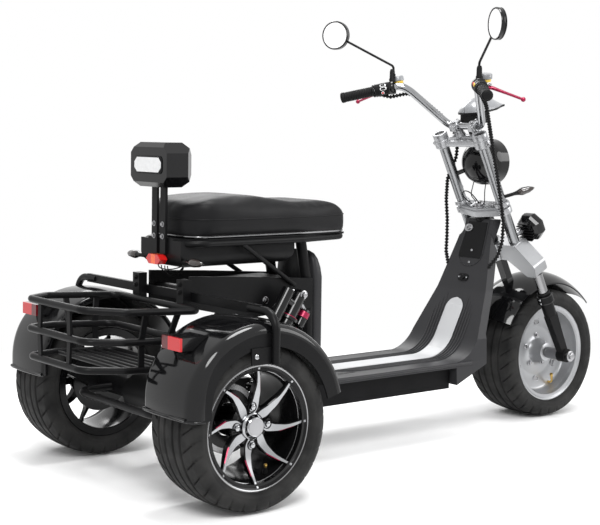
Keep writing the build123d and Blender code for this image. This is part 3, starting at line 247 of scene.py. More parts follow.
def tail_lens():
    """A red lens with an amber middle."""
    red = (0.6, 0.014, 0.012)
    lens = Finish("tail_lens", red, 0.14, coat=0.5)
    side = lens.math("ABSOLUTE", lens.add("ShaderNodeSeparateXYZ", Vector=lens.place).outputs["Y"])
    lens.set("Base Color", lens.mix(lens.math("LESS_THAN", side, 11 * MM), red, (0.85, 0.12, 0.02)))
    lens.bump(lens.cells(170), 0.3, 0.0008)


def fender_lens():
    """A red lens on the rear face of a black housing, darker toward the middle of the vehicle."""
    bright, dull, housing = (0.5, 0.010, 0.014), (0.10, 0.004, 0.007), (0.004, 0.004, 0.0045)
    lens = Finish("fender_lens", bright, 0.14, coat=0.4)
    parts = lens.add("ShaderNodeSeparateXYZ", Vector=lens.place).outputs
    at_rear = lens.math("LESS_THAN", parts["X"], (box("fender_reflectors")[0].x + 7) * MM)
    inboard = lens.math("LESS_THAN", lens.math("ABSOLUTE", parts["Y"]), (TRACK_HALF - 14) * MM)
    lens.set("Base Color", lens.mix(at_rear, housing, lens.mix(inboard, bright, dull)))
    lens.bump(lens.cells(170), 0.25, 0.0008)


def ribbed_lens(name, colour, scale):
    """A lens with fine moulded prisms behind its gloss."""
    lens = Finish(name, colour, 0.12, coat=0.6).tint(0.12, 70)
    lens.bump(lens.cells(scale), 0.45, 0.001)


def plain(name, colour, roughness, tint=0.25, grain=0.0, **shader):
    """A finish with soft changes of tone and gloss, and a grain where it is moulded or cast."""
    finish = Finish(name, colour, roughness, **shader).tint(tint, 14)
    finish.worn(roughness * 0.88, roughness * 1.12, 11)
    if grain:
        finish.grain(1400, grain, 0.0004)


leatherette()
tyre_rubber()
tail_lens()
fender_lens()
ribbed_lens("smoked_lens", (0.028, 0.022, 0.02), 160)
ribbed_lens("clear_lens", (0.72, 0.725, 0.73), 240)
plain("rubber", (0.006, 0.006, 0.0063), 0.55, grain=0.1, specular=0.13)
plain("powder_black", (0.0045, 0.0045, 0.0049), 0.36, grain=0.08, specular=0.12)
plain("gloss_black", (0.003, 0.003, 0.0034), 0.08, specular=0.36)
plain("shield_grey", (0.024, 0.024, 0.0258), 0.36, tint=0.1, grain=0.05, specular=0.16)
plain("moulded_black", (0.0055, 0.0055, 0.006), 0.4, grain=0.1, specular=0.12)
plain("case_black", (0.003, 0.003, 0.0034), 0.5, tint=0.4, grain=0.08, specular=0.07)
plain("inset_black", (0.0035, 0.0035, 0.004), 0.3, tint=0.3, specular=0.12)
plain("wheel_black", (0.003, 0.003, 0.0033), 0.16, specular=0.2)
plain("grip_strip", (0.43, 0.435, 0.445), 0.4, tint=0.05, grain=0.04)
# Flat grey: the reservoir caps' own colour, and on the instrument visor's top a painted reflection of the sky
# on black gloss.
plain("cap_grey_and_painted_visor_sheen", (0.20, 0.205, 0.215), 0.3, tint=0.08, coat=0.3)
plain("silver_paint", (0.33, 0.335, 0.345), 0.3, tint=0.06, metallic=0.7, coat=0.15)
plain("rim_silver", (0.33, 0.335, 0.345), 0.34, tint=0.06, metallic=0.75)
plain("cast_silver", (0.30, 0.305, 0.315), 0.36, tint=0.08, metallic=0.9)
plain("chrome", (0.36, 0.365, 0.375), 0.1, tint=0.06, metallic=1.0)
plain("tube_grey", (0.25, 0.255, 0.262), 0.22, tint=0.08, metallic=0.95)
plain("stanchion", (0.26, 0.26, 0.265), 0.25, tint=0.08, metallic=1.0)
plain("machined", (0.33, 0.335, 0.345), 0.27, tint=0.1, metallic=1.0)
plain("steel", (0.33, 0.33, 0.34), 0.3, tint=0.1, metallic=1.0)
plain("red_anodised", (0.27, 0.005, 0.042), 0.3, tint=0.15, metallic=0.4)
# Mirror glass: a near-white, mostly diffuse finish, a painted reflection of the white surroundings in place of
# a true mirror.
plain("mirror", (0.985, 0.985, 0.985), 0.05, tint=0.01, metallic=0.1)
plain("brass", (0.55, 0.36, 0.10), 0.3, tint=0.15, metallic=1.0)
plain("red_button", (0.5, 0.012, 0.012), 0.35, tint=0.1)
plain("yellow_button", (0.72, 0.5, 0.06), 0.35, tint=0.1)

# Solids that stay in sight: their finishes, and rounded edges on the moulded and cast ones

NODE_FINISHES = {
    "powder_black": [
        "frame", "rear_frame", "seat_pan", "backrest_posts", "fender_hoop", "basket", "rear_axle", "swing_arm",
        "rear_bumper", "fork_legs", "rear_calipers",
    ],
    "case_black": ["battery_box", "controller_box"],
    "shield_grey": ["leg_shield"],
    "moulded_black": ["seat_tray", "switch_housings", "mirrors"],
    "gloss_black": ["backrest_pad", "front_fender", "headlight", "shock_bodies"],
    "clear_lens": ["backrest_reflector", "headlight_lens"],
    "tail_lens": ["tail_light"],
    "fender_lens": ["fender_reflectors"],
    "silver_paint": ["fork_crown"],
    "tube_grey": ["fork_tubes"],
    "stanchion": ["fork_stanchions"],
    "steel": ["front_axle"],
    "mirror": ["mirror_glass"],
}
for finish, names in NODE_FINISHES.items():
    for name in names:
        slots = nodes[name].data.materials
        slots.clear()
        slots.append(MATERIALS[finish])

EDGE_ROUNDS = {
    "leg_shield": 5, "fork_crown": 6, "battery_box": 4, "fork_legs": 4, "backrest_pad": 6, "tail_light": 3,
    "fender_reflectors": 2, "rear_frame": 1.5, "swing_arm": 3, "controller_box": 3, "fender_hoop": 1.2,
    "seat_tray": 3,
}
for name, size in EDGE_ROUNDS.items():
    rounding = nodes[name].modifiers.new("rounding", "BEVEL")
    rounding.width = size * MM
    rounding.segments = 3
    rounding.limit_method = "ANGLE"
    rounding.angle_limit = math.radians(28)
    rounding.harden_normals = True


# Mesh building


class Shape:
    """A mesh under construction, with a finish for each face."""

    def __init__(self):
        self.points, self.faces, self.finishes = [], [], []

    def face(self, corners, finish):
        """Add one face."""
        self.faces.append(corners)
        self.finishes.append(finish)

    def rows(self, rows, finish, round_rows=False, round_points=True, caps=False):
        """Join rows of points by quads. A finish may be worked out from the row and the place in it."""
        count, first = len(rows[0]), len(self.points)
        self.points += [point for row in rows for point in row]
        table = [range(first + count * number, first + count * (number + 1)) for number in range(len(rows))]
        choose = finish if callable(finish) else lambda i, j: finish
        for i in range(len(rows) if round_rows else len(rows) - 1):
            this, following = table[i], table[(i + 1) % len(rows)]
            for j in range(count if round_points else count - 1):
                k = (j + 1) % count
                self.face((this[j], this[k], following[k], following[j]), choose(i, j))
        if caps:
            self.face(tuple(reversed(table[0])), choose(0, 0))
            self.face(tuple(table[-1]), choose(0, 0))

    def lathe(self, profile, origin, axis, finish, segments=48):
        """Turn a profile of (radius, height) points about an axis."""
        side = axis.orthogonal().normalized()
        other = axis.cross(side)
        self.rows([
            [origin + axis * height + side * x + other * y for x, y in circle(radius, segments)]
            for radius, height in profile
        ], finish)

    def prism(self, outline, origin, right, up, depth, finish, bevel=0):
        """Push a flat outline along right x up, with its far rim drawn in by a bevel."""
        corners = [Vector(corner) for corner in outline]
        middle = sum(corners, Vector((0, 0))) / len(corners)

        def ring(height, inset):
            points = []
            for corner in corners:
                reach = (corner - middle).length or 1
                x, y = middle + (corner - middle) * (max(reach - inset, 0) / reach)
                points.append(origin + right * x + up * y + right.cross(up) * height)
            return points

        levels = [(0, 0), (depth - bevel, 0)]
        if bevel:
            levels += [(depth - bevel * 0.3, bevel * 0.3), (depth, bevel)]
        self.rows([ring(height, inset) for height, inset in levels], finish, caps=True)

    def tube(self, points, radius, finish, segments=12, closed=False):
        """Run a round tube through points that lie close together; radius may be a list."""
        sizes = radius if isinstance(radius, list) else [radius] * len(points)
        rows, side = [], None
        for number, (point, size) in enumerate(zip(points, sizes)):
            before, after = max(number - 1, 0), min(number + 1, len(points) - 1)
            if closed:
                before, after = number - 1, (number + 1) % len(points)
            way = (points[after] - points[before]).normalized()
            side = way.orthogonal() if side is None else side - way * side.dot(way)
            side.normalize()
            other = way.cross(side)
            rows.append([point + side * x + other * y for x, y in circle(size, segments)])
        self.rows(rows, finish, round_rows=closed, caps=not closed)

    def bolt(self, origin, axis, radius, height, finish="steel"):
        """A washer with a hexagon head on it."""
        side = axis.orthogonal().normalized()
        washer = [(0, 0), (1.45, 0), (1.45, 0.22), (1.3, 0.3), (0, 0.3)]
        self.lathe([(radius * r, height * h) for r, h in washer], origin, axis, finish, 20)
        head = origin + axis * height * 0.25
        self.prism(circle(radius, 6), head, side, axis.cross(side), height * 0.75, finish, radius * 0.18)

    def screw(self, origin, axis, radius, finish="steel"):
        """A round screw head with a socket in it."""
        head = [(1, 0), (1, 0.25), (0.8, 0.52), (0.45, 0.62), (0.42, 0.35), (0, 0.35)]
        self.lathe([(radius * r, radius * h) for r, h in head], origin, axis, finish, 18)

    def build(self, name, body, smooth=40, mirrored=False, replaces=None):
        """Make the piece in metres, smooth below an angle in degrees, riding on a body if one is given."""
        if mirrored:
            start = len(self.points)
            self.points += [mirror(point) for point in self.points]
            self.faces += [tuple(start + corner for corner in reversed(face)) for face in self.faces]
            self.finishes += self.finishes
        mesh = bpy.data.meshes.new(name)
        mesh.from_pydata([point * MM for point in self.points], [], self.faces)
        used = list(dict.fromkeys(self.finishes))
        for finish in used:
            mesh.materials.append(MATERIALS[finish])
        for polygon, finish in zip(mesh.polygons, self.finishes):
            polygon.material_index = used.index(finish)
        work = bmesh.new()
        work.from_mesh(mesh)
        bmesh.ops.remove_doubles(work, verts=work.verts, dist=1e-6)
        bmesh.ops.recalc_face_normals(work, faces=work.faces)
        work.to_mesh(mesh)
        work.free()
        mesh.shade_smooth()
        piece = bpy.data.objects.new(name, mesh)
        bpy.context.scene.collection.objects.link(piece)
        mesh.set_sharp_from_angle(angle=math.radians(smooth))
        if body:
            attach(piece, body)
        if replaces:
            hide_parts(replaces)
        return piece


def spline_points(points, step=4):
    """Points read from a smooth spline that has the given control points."""
    curve = bpy.data.curves.new("route", "CURVE")
    curve.dimensions = "3D"
    spline = curve.splines.new("NURBS")
    spline.points.add(len(points) - 1)
    for target, point in zip(spline.points, points):
        target.co = (*point, 1)
    spline.order_u = 3
    spline.use_endpoint_u = True
    length = sum((second - first).length for first, second in zip(points, points[1:]))
    spline.resolution_u = max(4, int(length / step / (len(points) - 1)))
    holder = bpy.data.objects.new("route", curve)
    mesh = bpy.data.meshes.new_from_object(holder)
    result = [vertex.co.copy() for vertex in mesh.vertices]
    bpy.data.objects.remove(holder)
    bpy.data.curves.remove(curve)
    bpy.data.meshes.remove(mesh)
    return result


class Surface:
    """Finds where a line meets a mesh that is in metres."""

    def __init__(self, mesh):
        self.tree = BVHTree.FromPolygons([v.co for v in mesh.vertices], [p.vertices[:] for p in mesh.polygons])

    def hit(self, origin, way, lift=0):
        """Point where a line meets the mesh, lifted off it."""
        place, normal, _, _ = self.tree.ray_cast(origin * MM, way)
        return place / MM + normal * lift


# Tyres with a moulded tread

TREAD_PITCHES, PITCH_STEPS = 30, 16
TREAD_GROOVES = (-47, -17, 17, 47)
TREAD_HALF, TREAD_CROWN, GROOVE_DEPTH = 88, 7.5, 5.2
SHOULDER_START = 52
SIDE_WALL = [
    (94.5, 11.5), (99.5, 17.5), (103, 25), (104.6, 33), (104.4, 39), (103, 44), (103.6, 45.5), (102.2, 49),
    (98.5, 54), (92.5, 58), (88, 60), (83.6, 64), (83, 76),
]


def tyre_profile():
    """Cross section of the tyre as (distance from the middle plane, radius), bead to bead."""
    crown = [TREAD_HALF * number / 35 for number in range(36)]
    half = [(across, TYRE_RADIUS - TREAD_CROWN * (across / TREAD_HALF) ** 2.2) for across in crown]
    half += [(across, TYRE_RADIUS - drop) for across, drop in SIDE_WALL]
    return [(-across, radius) for across, radius in reversed(half[1:])] + half


def groove_depth(across, turn):
    """How deep the tread is cut at a place across it and at a turn counted in pitches, from 0 to 1."""
    depth = max(1 - smooth_step(2.4, 4.6, abs(across - groove)) for groove in TREAD_GROOVES)
    reach = abs(across)
    if reach > SHOULDER_START:
        stagger = 0.5 if across > 0 else 0.0
        bend = 0.015 * (reach - SHOULDER_START) + 0.006 * max(0, reach - 80)
        phase = (turn + stagger + bend) % 1
        near = min(phase, 1 - phase) / TREAD_PITCHES * 2 * math.pi * TYRE_RADIUS
        depth = max(depth, (1 - smooth_step(1.6, 3.6, near)) * smooth_step(54, 58, reach))
    return depth


def make_tyre(name, centre, body, node):
    """A tyre with round-the-wheel grooves and curved shoulder cuts."""
    profile = tyre_profile()
    steps = TREAD_PITCHES * PITCH_STEPS
    rows = []
    for number in range(steps):
        way = wheel_way(2 * math.pi * number / steps)
        ring = []
        for across, radius in profile:
            if abs(across) < 103.5 and radius > TYRE_RADIUS - 34:
                radius -= GROOVE_DEPTH * groove_depth(across, number / PITCH_STEPS)
            ring.append(centre + way * radius + Y * across)
        rows.append(ring)
    tyre = Shape()
    tyre.rows(rows, "tyre", round_rows=True)
    tyre.build(name, body, smooth=50, replaces=node)


make_tyre("front_tyre_tread", FRONT, "front_wheel", "front_tyre")
for hand, side in SIDES:
    wheel = REAR + Y * side * TRACK_HALF
    make_tyre(f"rear_tyre_tread_{hand}", wheel, f"rear_wheel_{hand}", f"rear_tyre_{hand}")

# Rear alloy wheels

FLANGE_RADIUS, BARREL_RADIUS, RIM_HALF = 169, 150, 90
BARREL_INSIDE = BARREL_RADIUS - 7
SPOKES, SPOKE_STATIONS = 8, 20
SPOKE_ROOT, SPOKE_TIP = 30, 163.5
RIM_RINGS = [
    ("wheel_black", [
        (BARREL_INSIDE, -87), (BARREL_INSIDE + 3, -RIM_HALF), (166, -RIM_HALF), (FLANGE_RADIUS, -87),
        (FLANGE_RADIUS, -84), (BARREL_RADIUS, -84), (BARREL_RADIUS, 84), (165.5, 84),
    ]),
    ("stanchion", [(165.5, 84), (FLANGE_RADIUS, 86.5), (168.5, 89.5), (166, RIM_HALF), (163.5, 88.8)]),
    ("wheel_black", [(163.5, 88.8), (157, 84), (153.5, 80), (152, 70)]),
    ("stanchion", [(152, 70), (150.5, 67.5), (149, 67)]),
    ("wheel_black", [(149, 67), (146, 60), (BARREL_INSIDE, 45), (139, 0), (141, -60), (BARREL_INSIDE, -87)]),
]


def spoke_rows(centre, side, base):
    """Sections of one curved spoke, from the hub to the rim."""
    rows = []
    for number in range(SPOKE_STATIONS + 1):
        share = number / SPOKE_STATIONS
        radius = SPOKE_ROOT + (SPOKE_TIP - SPOKE_ROOT) * share
        face = 57 + 24 * smooth_step(0.1, 1, share) ** 1.3 + 6 * smooth_step(0.9, 0.97, share)
        half = blend_between([(0, 12), (0.14, 14.5), (0.38, 11.5), (0.7, 6.4), (0.9, 4.6), (1, 4.4)], share)
        back = face - blend_between([(0, 24), (0.5, 22), (0.9, 14), (1, 10)], share)
        bow = side * 16 * math.sin(math.pi * min(share * 1.05, 1)) * (1 - share * 0.3)
        angle = base + bow / max(radius, 50)
        chamfer = min(2.8, half * 0.35)
        section = [
            (chamfer - half, face), (half - chamfer, face), (half, face - chamfer), (half * 0.86, back),
            (-half * 0.86, back), (-half, face - chamfer),
        ]
        spine, tangent = centre + wheel_way(angle) * radius, wheel_way(angle + math.pi / 2)
        rows.append([spine + tangent * across + Y * side * height for across, height in section])
    return rows


def make_alloy(hand, side):
    """A wheel with machined spoke faces, black flanks and a thin red edge, with its hub, disc and valve."""
    centre, out, body = REAR + Y * side * TRACK_HALF, Y * side, f"rear_wheel_{hand}"
    red_edge = 1 if side > 0 else 5

    def spoke_finish(i, j):
        if j == 0:
            return "machined"
        return "red_anodised" if j == red_edge and 8 < i < 15 else "wheel_black"

    shape = Shape()
    for finish, profile in RIM_RINGS:
        shape.lathe(profile, centre, out, finish, 96)
    for number in range(SPOKES):
        rows = spoke_rows(centre, side, math.pi / 2 + 2 * math.pi * number / SPOKES)
        shape.rows(rows, spoke_finish, caps=True)
    hub = [(0, 33), (56, 33), (60, 37), (60, 46), (52, 52.5), (0, 52.5)]
    shape.lathe(hub, centre, out, "wheel_black", 64)
    shape.build(f"alloy_wheel_{hand}", body, smooth=35, replaces=f"rear_alloy_{hand}")

    trim = Shape()
    cap = [(36.5, 50), (36.5, 59), (35.2, 62.5), (33, 64), (31, 65.5), (28.5, 72), (26.2, 76.2), (24.5, 77.2)]
    trim.lathe(cap, centre, out, "chrome")
    trim.lathe([(24.5, 77.2), (23.2, 76.8), (22.5, 76.2), (0, 76.4)], centre, out, "steel")
    for number in range(4):
        seat = centre + wheel_way(number * math.pi / 2) * 50.8
        cup = [(13.8, 53.5), (13.8, 59.2), (12.8, 59.8), (11.8, 59.2), (11.2, 54.5), (0, 54.5)]
        trim.lathe(cup, seat, out, "wheel_black", 28)
        trim.prism(circle(8.5, 6), seat + out * 54.5, X, Z * -side, 10, "chrome", 3)
    trim.lathe([(0, -60), (44, -60), (44, 33), (0, 33)], centre, out, "wheel_black", 40)
    trim.lathe([(46, -52.5), (95, -52.5), (95, -47.5), (46, -47.5)], centre, out, "wheel_black", 72)
    trim.lathe([(80, -47), (94, -47)], centre, out, "stanchion", 72)
    trim.build(f"hub_and_disc_{hand}", body, smooth=35, replaces=f"rear_hub_{hand}")

    valve = Shape()
    radial = wheel_way(math.radians(-90 - 22 * side))
    foot = centre + radial * (BARREL_INSIDE - 1) + out * 48
    lean = (out * 0.55 - radial).normalized()
    valve.lathe([(7.5, -2), (7.5, 4), (5.5, 8), (5, 20), (0, 20)], foot, lean, "rubber", 16)
    valve.lathe([(4.2, 20), (4.6, 22), (4.6, 29), (3, 31), (0, 31)], foot, lean, "brass", 16)
    valve.build(f"valve_{hand}", body)


for hand, side in SIDES:
    make_alloy(hand, side)

# Places on the handlebar

BAR_MIDDLE = on_fork(41, 0, 875)


def bar_point(back, side, rise):
    """Point behind, beside and above the middle of the handlebar."""
    return BAR_MIDDLE + Vector((-back, side, rise))


GRIP_LENGTH, GRIP_RADIUS, HOUSING_RADIUS = 118, 17, 21.6
BAR_PEAK, BAR_END = bar_point(131, 172, 139), bar_point(265, 341, 93)
GRIP_WAY = (BAR_END - BAR_PEAK).normalized()
GRIP_AHEAD = Vector((GRIP_WAY.y, -GRIP_WAY.x, 0)).normalized()
GRIP_UP = GRIP_AHEAD.cross(GRIP_WAY)


def on_grip(along, ahead, up):
    """Point along the left grip from its inner end, ahead of its axis and above it."""
    return BAR_END + GRIP_WAY * (along - GRIP_LENGTH) + GRIP_AHEAD * ahead + GRIP_UP * up


# Seat cushion, blown up inside its cover, in metres

SEAT_VOXEL, SEAT_CAP, SEAT_SHRINK = 6 * MM, 5 * MM, 6 * MM
SEAT_HELD = 12 * MM


def settle(piece):
    """Apply all modifiers of a piece to its mesh."""
    seen = bpy.context.evaluated_depsgraph_get()
    mesh = bpy.data.meshes.new_from_object(piece.evaluated_get(seen))
    piece.modifiers.clear()
    piece.data = mesh


def calm(piece, iterations):
    """Smooth a piece's mesh."""
    soft = piece.modifiers.new("soft", "SMOOTH")
    soft.factor = 0.5
    soft.iterations = iterations
    settle(piece)


def inflate(piece, held_below, cap):
    """Let pressure round the cover, with its base held and no point moved farther than the cap."""
    rest = [vertex.co.copy() for vertex in piece.data.vertices]
    group = piece.vertex_groups.new(name="base")
    group.add([number for number, point in enumerate(rest) if point.z < held_below], 1.0, "REPLACE")
    cloth = piece.modifiers.new("cover", "CLOTH")
    cloth.settings.use_pressure = True
    cloth.settings.uniform_pressure_force = 0.7
    cloth.settings.effector_weights.gravity = 0.0
    cloth.settings.vertex_group_mass = "base"
    cloth.settings.quality = 4
    cloth.point_cache.frame_start, cloth.point_cache.frame_end = 1, 20
    for number in range(1, 21):
        bpy.context.scene.frame_set(number)
    settle(piece)
    bpy.context.scene.frame_set(1)
    for vertex, start in zip(piece.data.vertices, rest):
        move = vertex.co - start
        if move.length > cap:
            vertex.co = start + move.normalized() * cap


def make_seat():
    """The long seat: a crowned cushion with a dipped front half."""
    low, high = (Vector(corner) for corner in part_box("seat_cushion"))
    middle = (low + high) / 2
    mesh = nodes["seat_cushion"].data.copy()
    for vertex in mesh.vertices:
        vertex.co.x -= math.copysign(SEAT_SHRINK, vertex.co.x - middle.x) * 0.5
        vertex.co.y -= math.copysign(min(SEAT_SHRINK, abs(vertex.co.y)), vertex.co.y) * 0.5
        if vertex.co.z > middle.z:
            vertex.co.z -= SEAT_SHRINK * 0.5
    piece = bpy.data.objects.new("seat_cover", mesh)
    bpy.context.scene.collection.objects.link(piece)
    grid = piece.modifiers.new("grid", "REMESH")
    grid.mode = "VOXEL"
    grid.voxel_size = SEAT_VOXEL
    calm(piece, 40)
    inflate(piece, low.z + SEAT_HELD, SEAT_CAP)
    calm(piece, 10)
    fine = piece.modifiers.new("fine", "SUBSURF")
    fine.levels = fine.render_levels = 1
    settle(piece)
    piece.data.materials.clear()
    piece.data.materials.append(MATERIALS["leatherette"])
    piece.data.shade_smooth()
    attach(piece, "chassis")
    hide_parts("seat_cushion")
    return piece


def make_piping(seat):
    """A sewn line and a bright beading round the seat's side."""
    cover = Surface(seat.data)
    low, high = box("seat_cushion")
    shape = Shape()
    for height_share, lift, radius, finish in ((0.46, 0.2, 2.1, "leatherette"), (0.05, 1.2, 3, "stanchion")):
        line = []
        for across, side in circle(1, 120):
            spine_x = min(max((low.x + high.x) / 2 + 420 * across, low.x + 120), high.x - 120)
            spine = Vector((spine_x, 0, low.z + (high.z - low.z) * height_share))
            way = Vector((across, side, 0))
            line.append(cover.hit(spine + way * 600, -way, lift))
        shape.tube(line, radius, finish, 8, closed=True)
    shape.build("seat_piping", "chassis")


make_piping(make_seat())

# Backrest


def make_backrest():
    """The soft pad on the front of the shell, and the lens frame and bolts at its back."""
    low, high = box("backrest_pad")
    height = (low.z + high.z) / 2
    pad = Shape()
    rows = []
    for number in range(9):
        angle = math.pi / 2 * number / 8
        size = max(math.cos(angle), 0) ** 0.55
        x = high.x - 1 + 11 * math.sin(angle)
        rows.append([Vector((x, y * size, height + z * size)) for y, z in rounded_outline(116, 52, 20, 6)])
    pad.rows(rows, "leatherette", caps=True)
    pad.build("backrest_soft_pad", "chassis", smooth=60)

    trim = Shape()
    lens_frame = rounded_outline(146, 52, 13, 3)
    trim.prism(lens_frame, Vector((low.x + 1.2, 0, height)), -Y, Z, 3.5, "inset_black", 1.5)
    for side in (22, -22):
        for z in (700, 735):
            trim.bolt(Vector((box("backrest_posts")[0].x, side, z)), -X, 5.5, 6)
    trim.build("backrest_trim", "chassis")


make_backrest()

# Shock absorbers

SHOCK_LOW, SHOCK_HIGH = from_rear(225, 158, 262), from_rear(392, 158, 522)
SHOCK_WAY = (SHOCK_HIGH - SHOCK_LOW).normalized()
SHOCK_BACK = SHOCK_WAY.cross(Y).normalized()
COIL_TURNS, COIL_STEPS, COIL_RADIUS, COIL_INSET = 8, 22, 23.5, 16


def make_shocks():
    """Black coils between red collars, and a gas can at the top."""
    low, high = box("shock_springs")
    start = SHOCK_LOW + SHOCK_WAY * ((low.z - SHOCK_LOW.z) / SHOCK_WAY.z + COIL_INSET)
    end = SHOCK_LOW + SHOCK_WAY * ((high.z - SHOCK_LOW.z) / SHOCK_WAY.z - COIL_INSET)
    total = COIL_TURNS * COIL_STEPS
    coil = []
    for number in range(total + 1):
        angle = 2 * math.pi * number / COIL_STEPS
        out = SHOCK_BACK * math.cos(angle) + Y * math.sin(angle)
        coil.append(start.lerp(end, number / total) + out * COIL_RADIUS)
    shape = Shape()
    shape.tube(coil, 3.8, "gloss_black", 8)
    shape.build(
        "shock_coils", "chassis", smooth=60, mirrored=True, replaces="shock_springs"
    )

    trim = Shape()
    length = (end - start).length
    trim.lathe([(0, 0), (8.5, 0), (8.5, length), (0, length)], start, SHOCK_WAY, "chrome", 20)
    for share in (1, -0.03):
        collar = start + SHOCK_WAY * length * share
        trim.lathe([(21, 0), (26.5, 2), (26.5, 10), (21, 12)], collar, SHOCK_WAY, "red_anodised", 32)
    can = SHOCK_HIGH - SHOCK_WAY * 85 - SHOCK_BACK * 46
    body = [(0, 0), (12, 0), (15.5, 4), (15.5, 52), (12, 57), (0, 57)]
    trim.lathe(body, can, SHOCK_WAY, "gloss_black", 28)
    trim.lathe([(16.3, 30), (16.3, 48)], can, SHOCK_WAY, "red_anodised", 28)
    pipe = [can + SHOCK_WAY * along + SHOCK_BACK * back for along, back in ((50, 0), (60, 20), (62, 40))]
    trim.tube(pipe, 6, "cast_silver", 10)
    trim.build("shock_trim", "chassis", mirrored=True)


make_shocks()

# Grips, switches, levers and mirrors

RIB_COUNT, RIBS_START, RIBS_END = 16, 10, 106
LEVER_CLAMP = on_grip(-62, 0, 0)
MIRROR_TURN = math.radians(22)
MIRROR_CENTRE = bar_point(271, 375, 313)
MIRROR_WAY = Vector((math.cos(MIRROR_TURN), math.sin(MIRROR_TURN), 0))


def make_grips():
    """Rubber grips with ribs, a collar and a closed end."""
    profile = [(0, 0), (20.5, 0), (21.5, 1.5), (21.5, 5), (18.2, 7.5)]
    pitch = (RIBS_END - RIBS_START) / RIB_COUNT
    for number in range(RIB_COUNT):
        for rise, share in ((-0.7, 0), (0.4, 0.22), (0.4, 0.72), (-0.7, 0.94)):
            profile.append((GRIP_RADIUS + rise, RIBS_START + pitch * (number + share)))
    profile += [(18.2, 108), (18.6, 116), (16.5, 119.5), (10, 121.5), (0, 121.5)]
    shape = Shape()
    shape.lathe(profile, on_grip(0, 0, 0), GRIP_WAY, "rubber", 36)
    shape.build("ribbed_grips", "steering", smooth=50, mirrored=True, replaces="grips")


def make_switches():
    """Split lines and screws on the switch housings, brake fluid reservoirs, and the buttons of each side."""
    both = Shape()
    for along in (-52.5, -29, -4.5):
        groove = [(22.2, -1.2), (22.9, 0), (22.2, 1.2)]
        both.lathe(groove, on_grip(along, 0, 0), GRIP_WAY, "inset_black", 32)
    both.screw(on_grip(-16, 0, -22), -GRIP_UP, 4)
    tank = on_grip(-84, 24, 8)
    both.lathe([(0, 0), (15, 0), (17, 3), (17, 9)], tank, GRIP_UP, "yellow_button", 28)
    both.lathe([(17, 9), (20.5, 11), (20.5, 24), (18, 27), (0, 27)], tank, GRIP_UP, "cap_grey_and_painted_visor_sheen", 28)
    both.tube([on_grip(-72, 14, 4), on_grip(-84, 24, 9)], 8, "gloss_black", 14)
    both.build("switch_trim", "steering", mirrored=True)

    left = Shape()
    buttons = (
        (-34, 32, 22, 9, "moulded_black"), (-34, 2, 24, 11, "moulded_black"), (-30, -34, 11, 11, "red_button"),
    )
    for along, turn, wide, tall, finish in buttons:
        across, up = math.cos(math.radians(turn)), math.sin(math.radians(turn))
        place = on_grip(along, -HOUSING_RADIUS * across, HOUSING_RADIUS * up)
        for size, depth, tone in ((1, 2.4, "clear_lens"), (0.68, 4, finish)):
            oval = rounded_outline(wide * size, tall * size, tall * size / 2.05, 6)
            left.prism(oval, place, -GRIP_WAY, GRIP_UP * across + GRIP_AHEAD * up, depth, tone, 0.6)
    left.build("left_buttons", "steering")

    right = Shape()
    for along, finish in ((-40, "red_button"), (-22, "yellow_button")):
        place = mirror(on_grip(along, -20.5, 8))
        right.lathe([(6, -1), (6, 3), (0, 4.2)], place, -mirror(GRIP_AHEAD), finish, 20)
    right.build("right_buttons", "steering")


def make_levers():
    """Red blade levers with a knuckle at the clamp and a ball at the tip."""
    knee, tip = on_grip(-18, 46, -4), bar_point(150, 385, 83)
    route = [on_grip(-30, 14, 0), on_grip(-30, 34, -1), knee, knee.lerp(tip, 0.3), knee.lerp(tip, 0.7), tip]
    path = spline_points(route)
    last = len(path) - 1
    rows = []
    for number, point in enumerate(path):
        share = number / last
        way = (path[min(number + 1, last)] - path[max(number - 1, 0)]).normalized()
        flat = (GRIP_AHEAD - way * GRIP_AHEAD.dot(way)).normalized()
        wide = flat * blend_between([(0, 6.5), (0.15, 9), (0.35, 7.5), (0.85, 5.5), (1, 5)], share)
        thick = way.cross(flat) * blend_between([(0, 6.5), (0.2, 5.5), (0.9, 4.2), (1, 4)], share)
        rows.append([point + wide * x + thick * y for x, y in circle(1, 12)])
    shape = Shape()
    shape.rows(rows, "red_anodised", caps=True)
    ball = [(7.8 * math.sin(math.pi * k / 10), -7.8 * math.cos(math.pi * k / 10)) for k in range(11)]
    shape.lathe(ball, tip, GRIP_WAY, "red_anodised", 16)
    shape.lathe([(22.6, -9), (24.5, -7), (24.5, 7), (22.6, 9)], LEVER_CLAMP, GRIP_WAY, "gloss_black", 32)
    shape.bolt(on_grip(-30, 30, 7), GRIP_UP, 4.5, 5)
    shape.build("lever_blades", "steering", smooth=50, mirrored=True, replaces="levers")


def make_mirror_rims():
    """Domed backs and round lips, and boots at the foot of the stalks."""
    shape = Shape()
    dome = [(50.5, 1), (50.2, 8), (46, 16.5), (34, 21.5), (16, 23.5), (0, 24)]
    lip = [(45.2, -1.8), (46.6, -3.6), (49.2, -3.6), (50.5, -1), (50.5, 1)]
    for profile in (dome, lip):
        shape.lathe(profile, MIRROR_CENTRE, MIRROR_WAY, "gloss_black", 56)
    boot = [(11.2, 0), (11.2, 6), (9.4, 10), (8.8, 34), (6.6, 41), (4.2, 42)]
    shape.lathe(boot, LEVER_CLAMP + Z * 21.5, Z, "rubber", 24)
    shape.build("mirror_rims", "steering", smooth=60, mirrored=True)


make_grips()
make_switches()
make_levers()
make_mirror_rims()

# Ribbed looms from the handlebar to the leg shield

LOOM_RADIUS, LOOM_PITCH, LOOM_RIB = 7.2, 11.2, 3.2
RIGHT_LOOM = [(1125, -203, 1096), (1213, -150, 975), (1262, -136, 845)]
LEFT_LOOM = [
    (1092, 214, 1126), (1135, 182, 1138), (1168, 157, 1134), (1200, 132, 1100), (1232, 106, 1066),
    (1264, 86, 1026), (1282, 72, 980), (1276, 72, 920), (1268, 104, 845),
]
LOOM_TAIL = [(1288, 128, 770), (1298, 131, 700), (1296, 129, 640), (1284, 120, 588), (1268, 92, 545)]


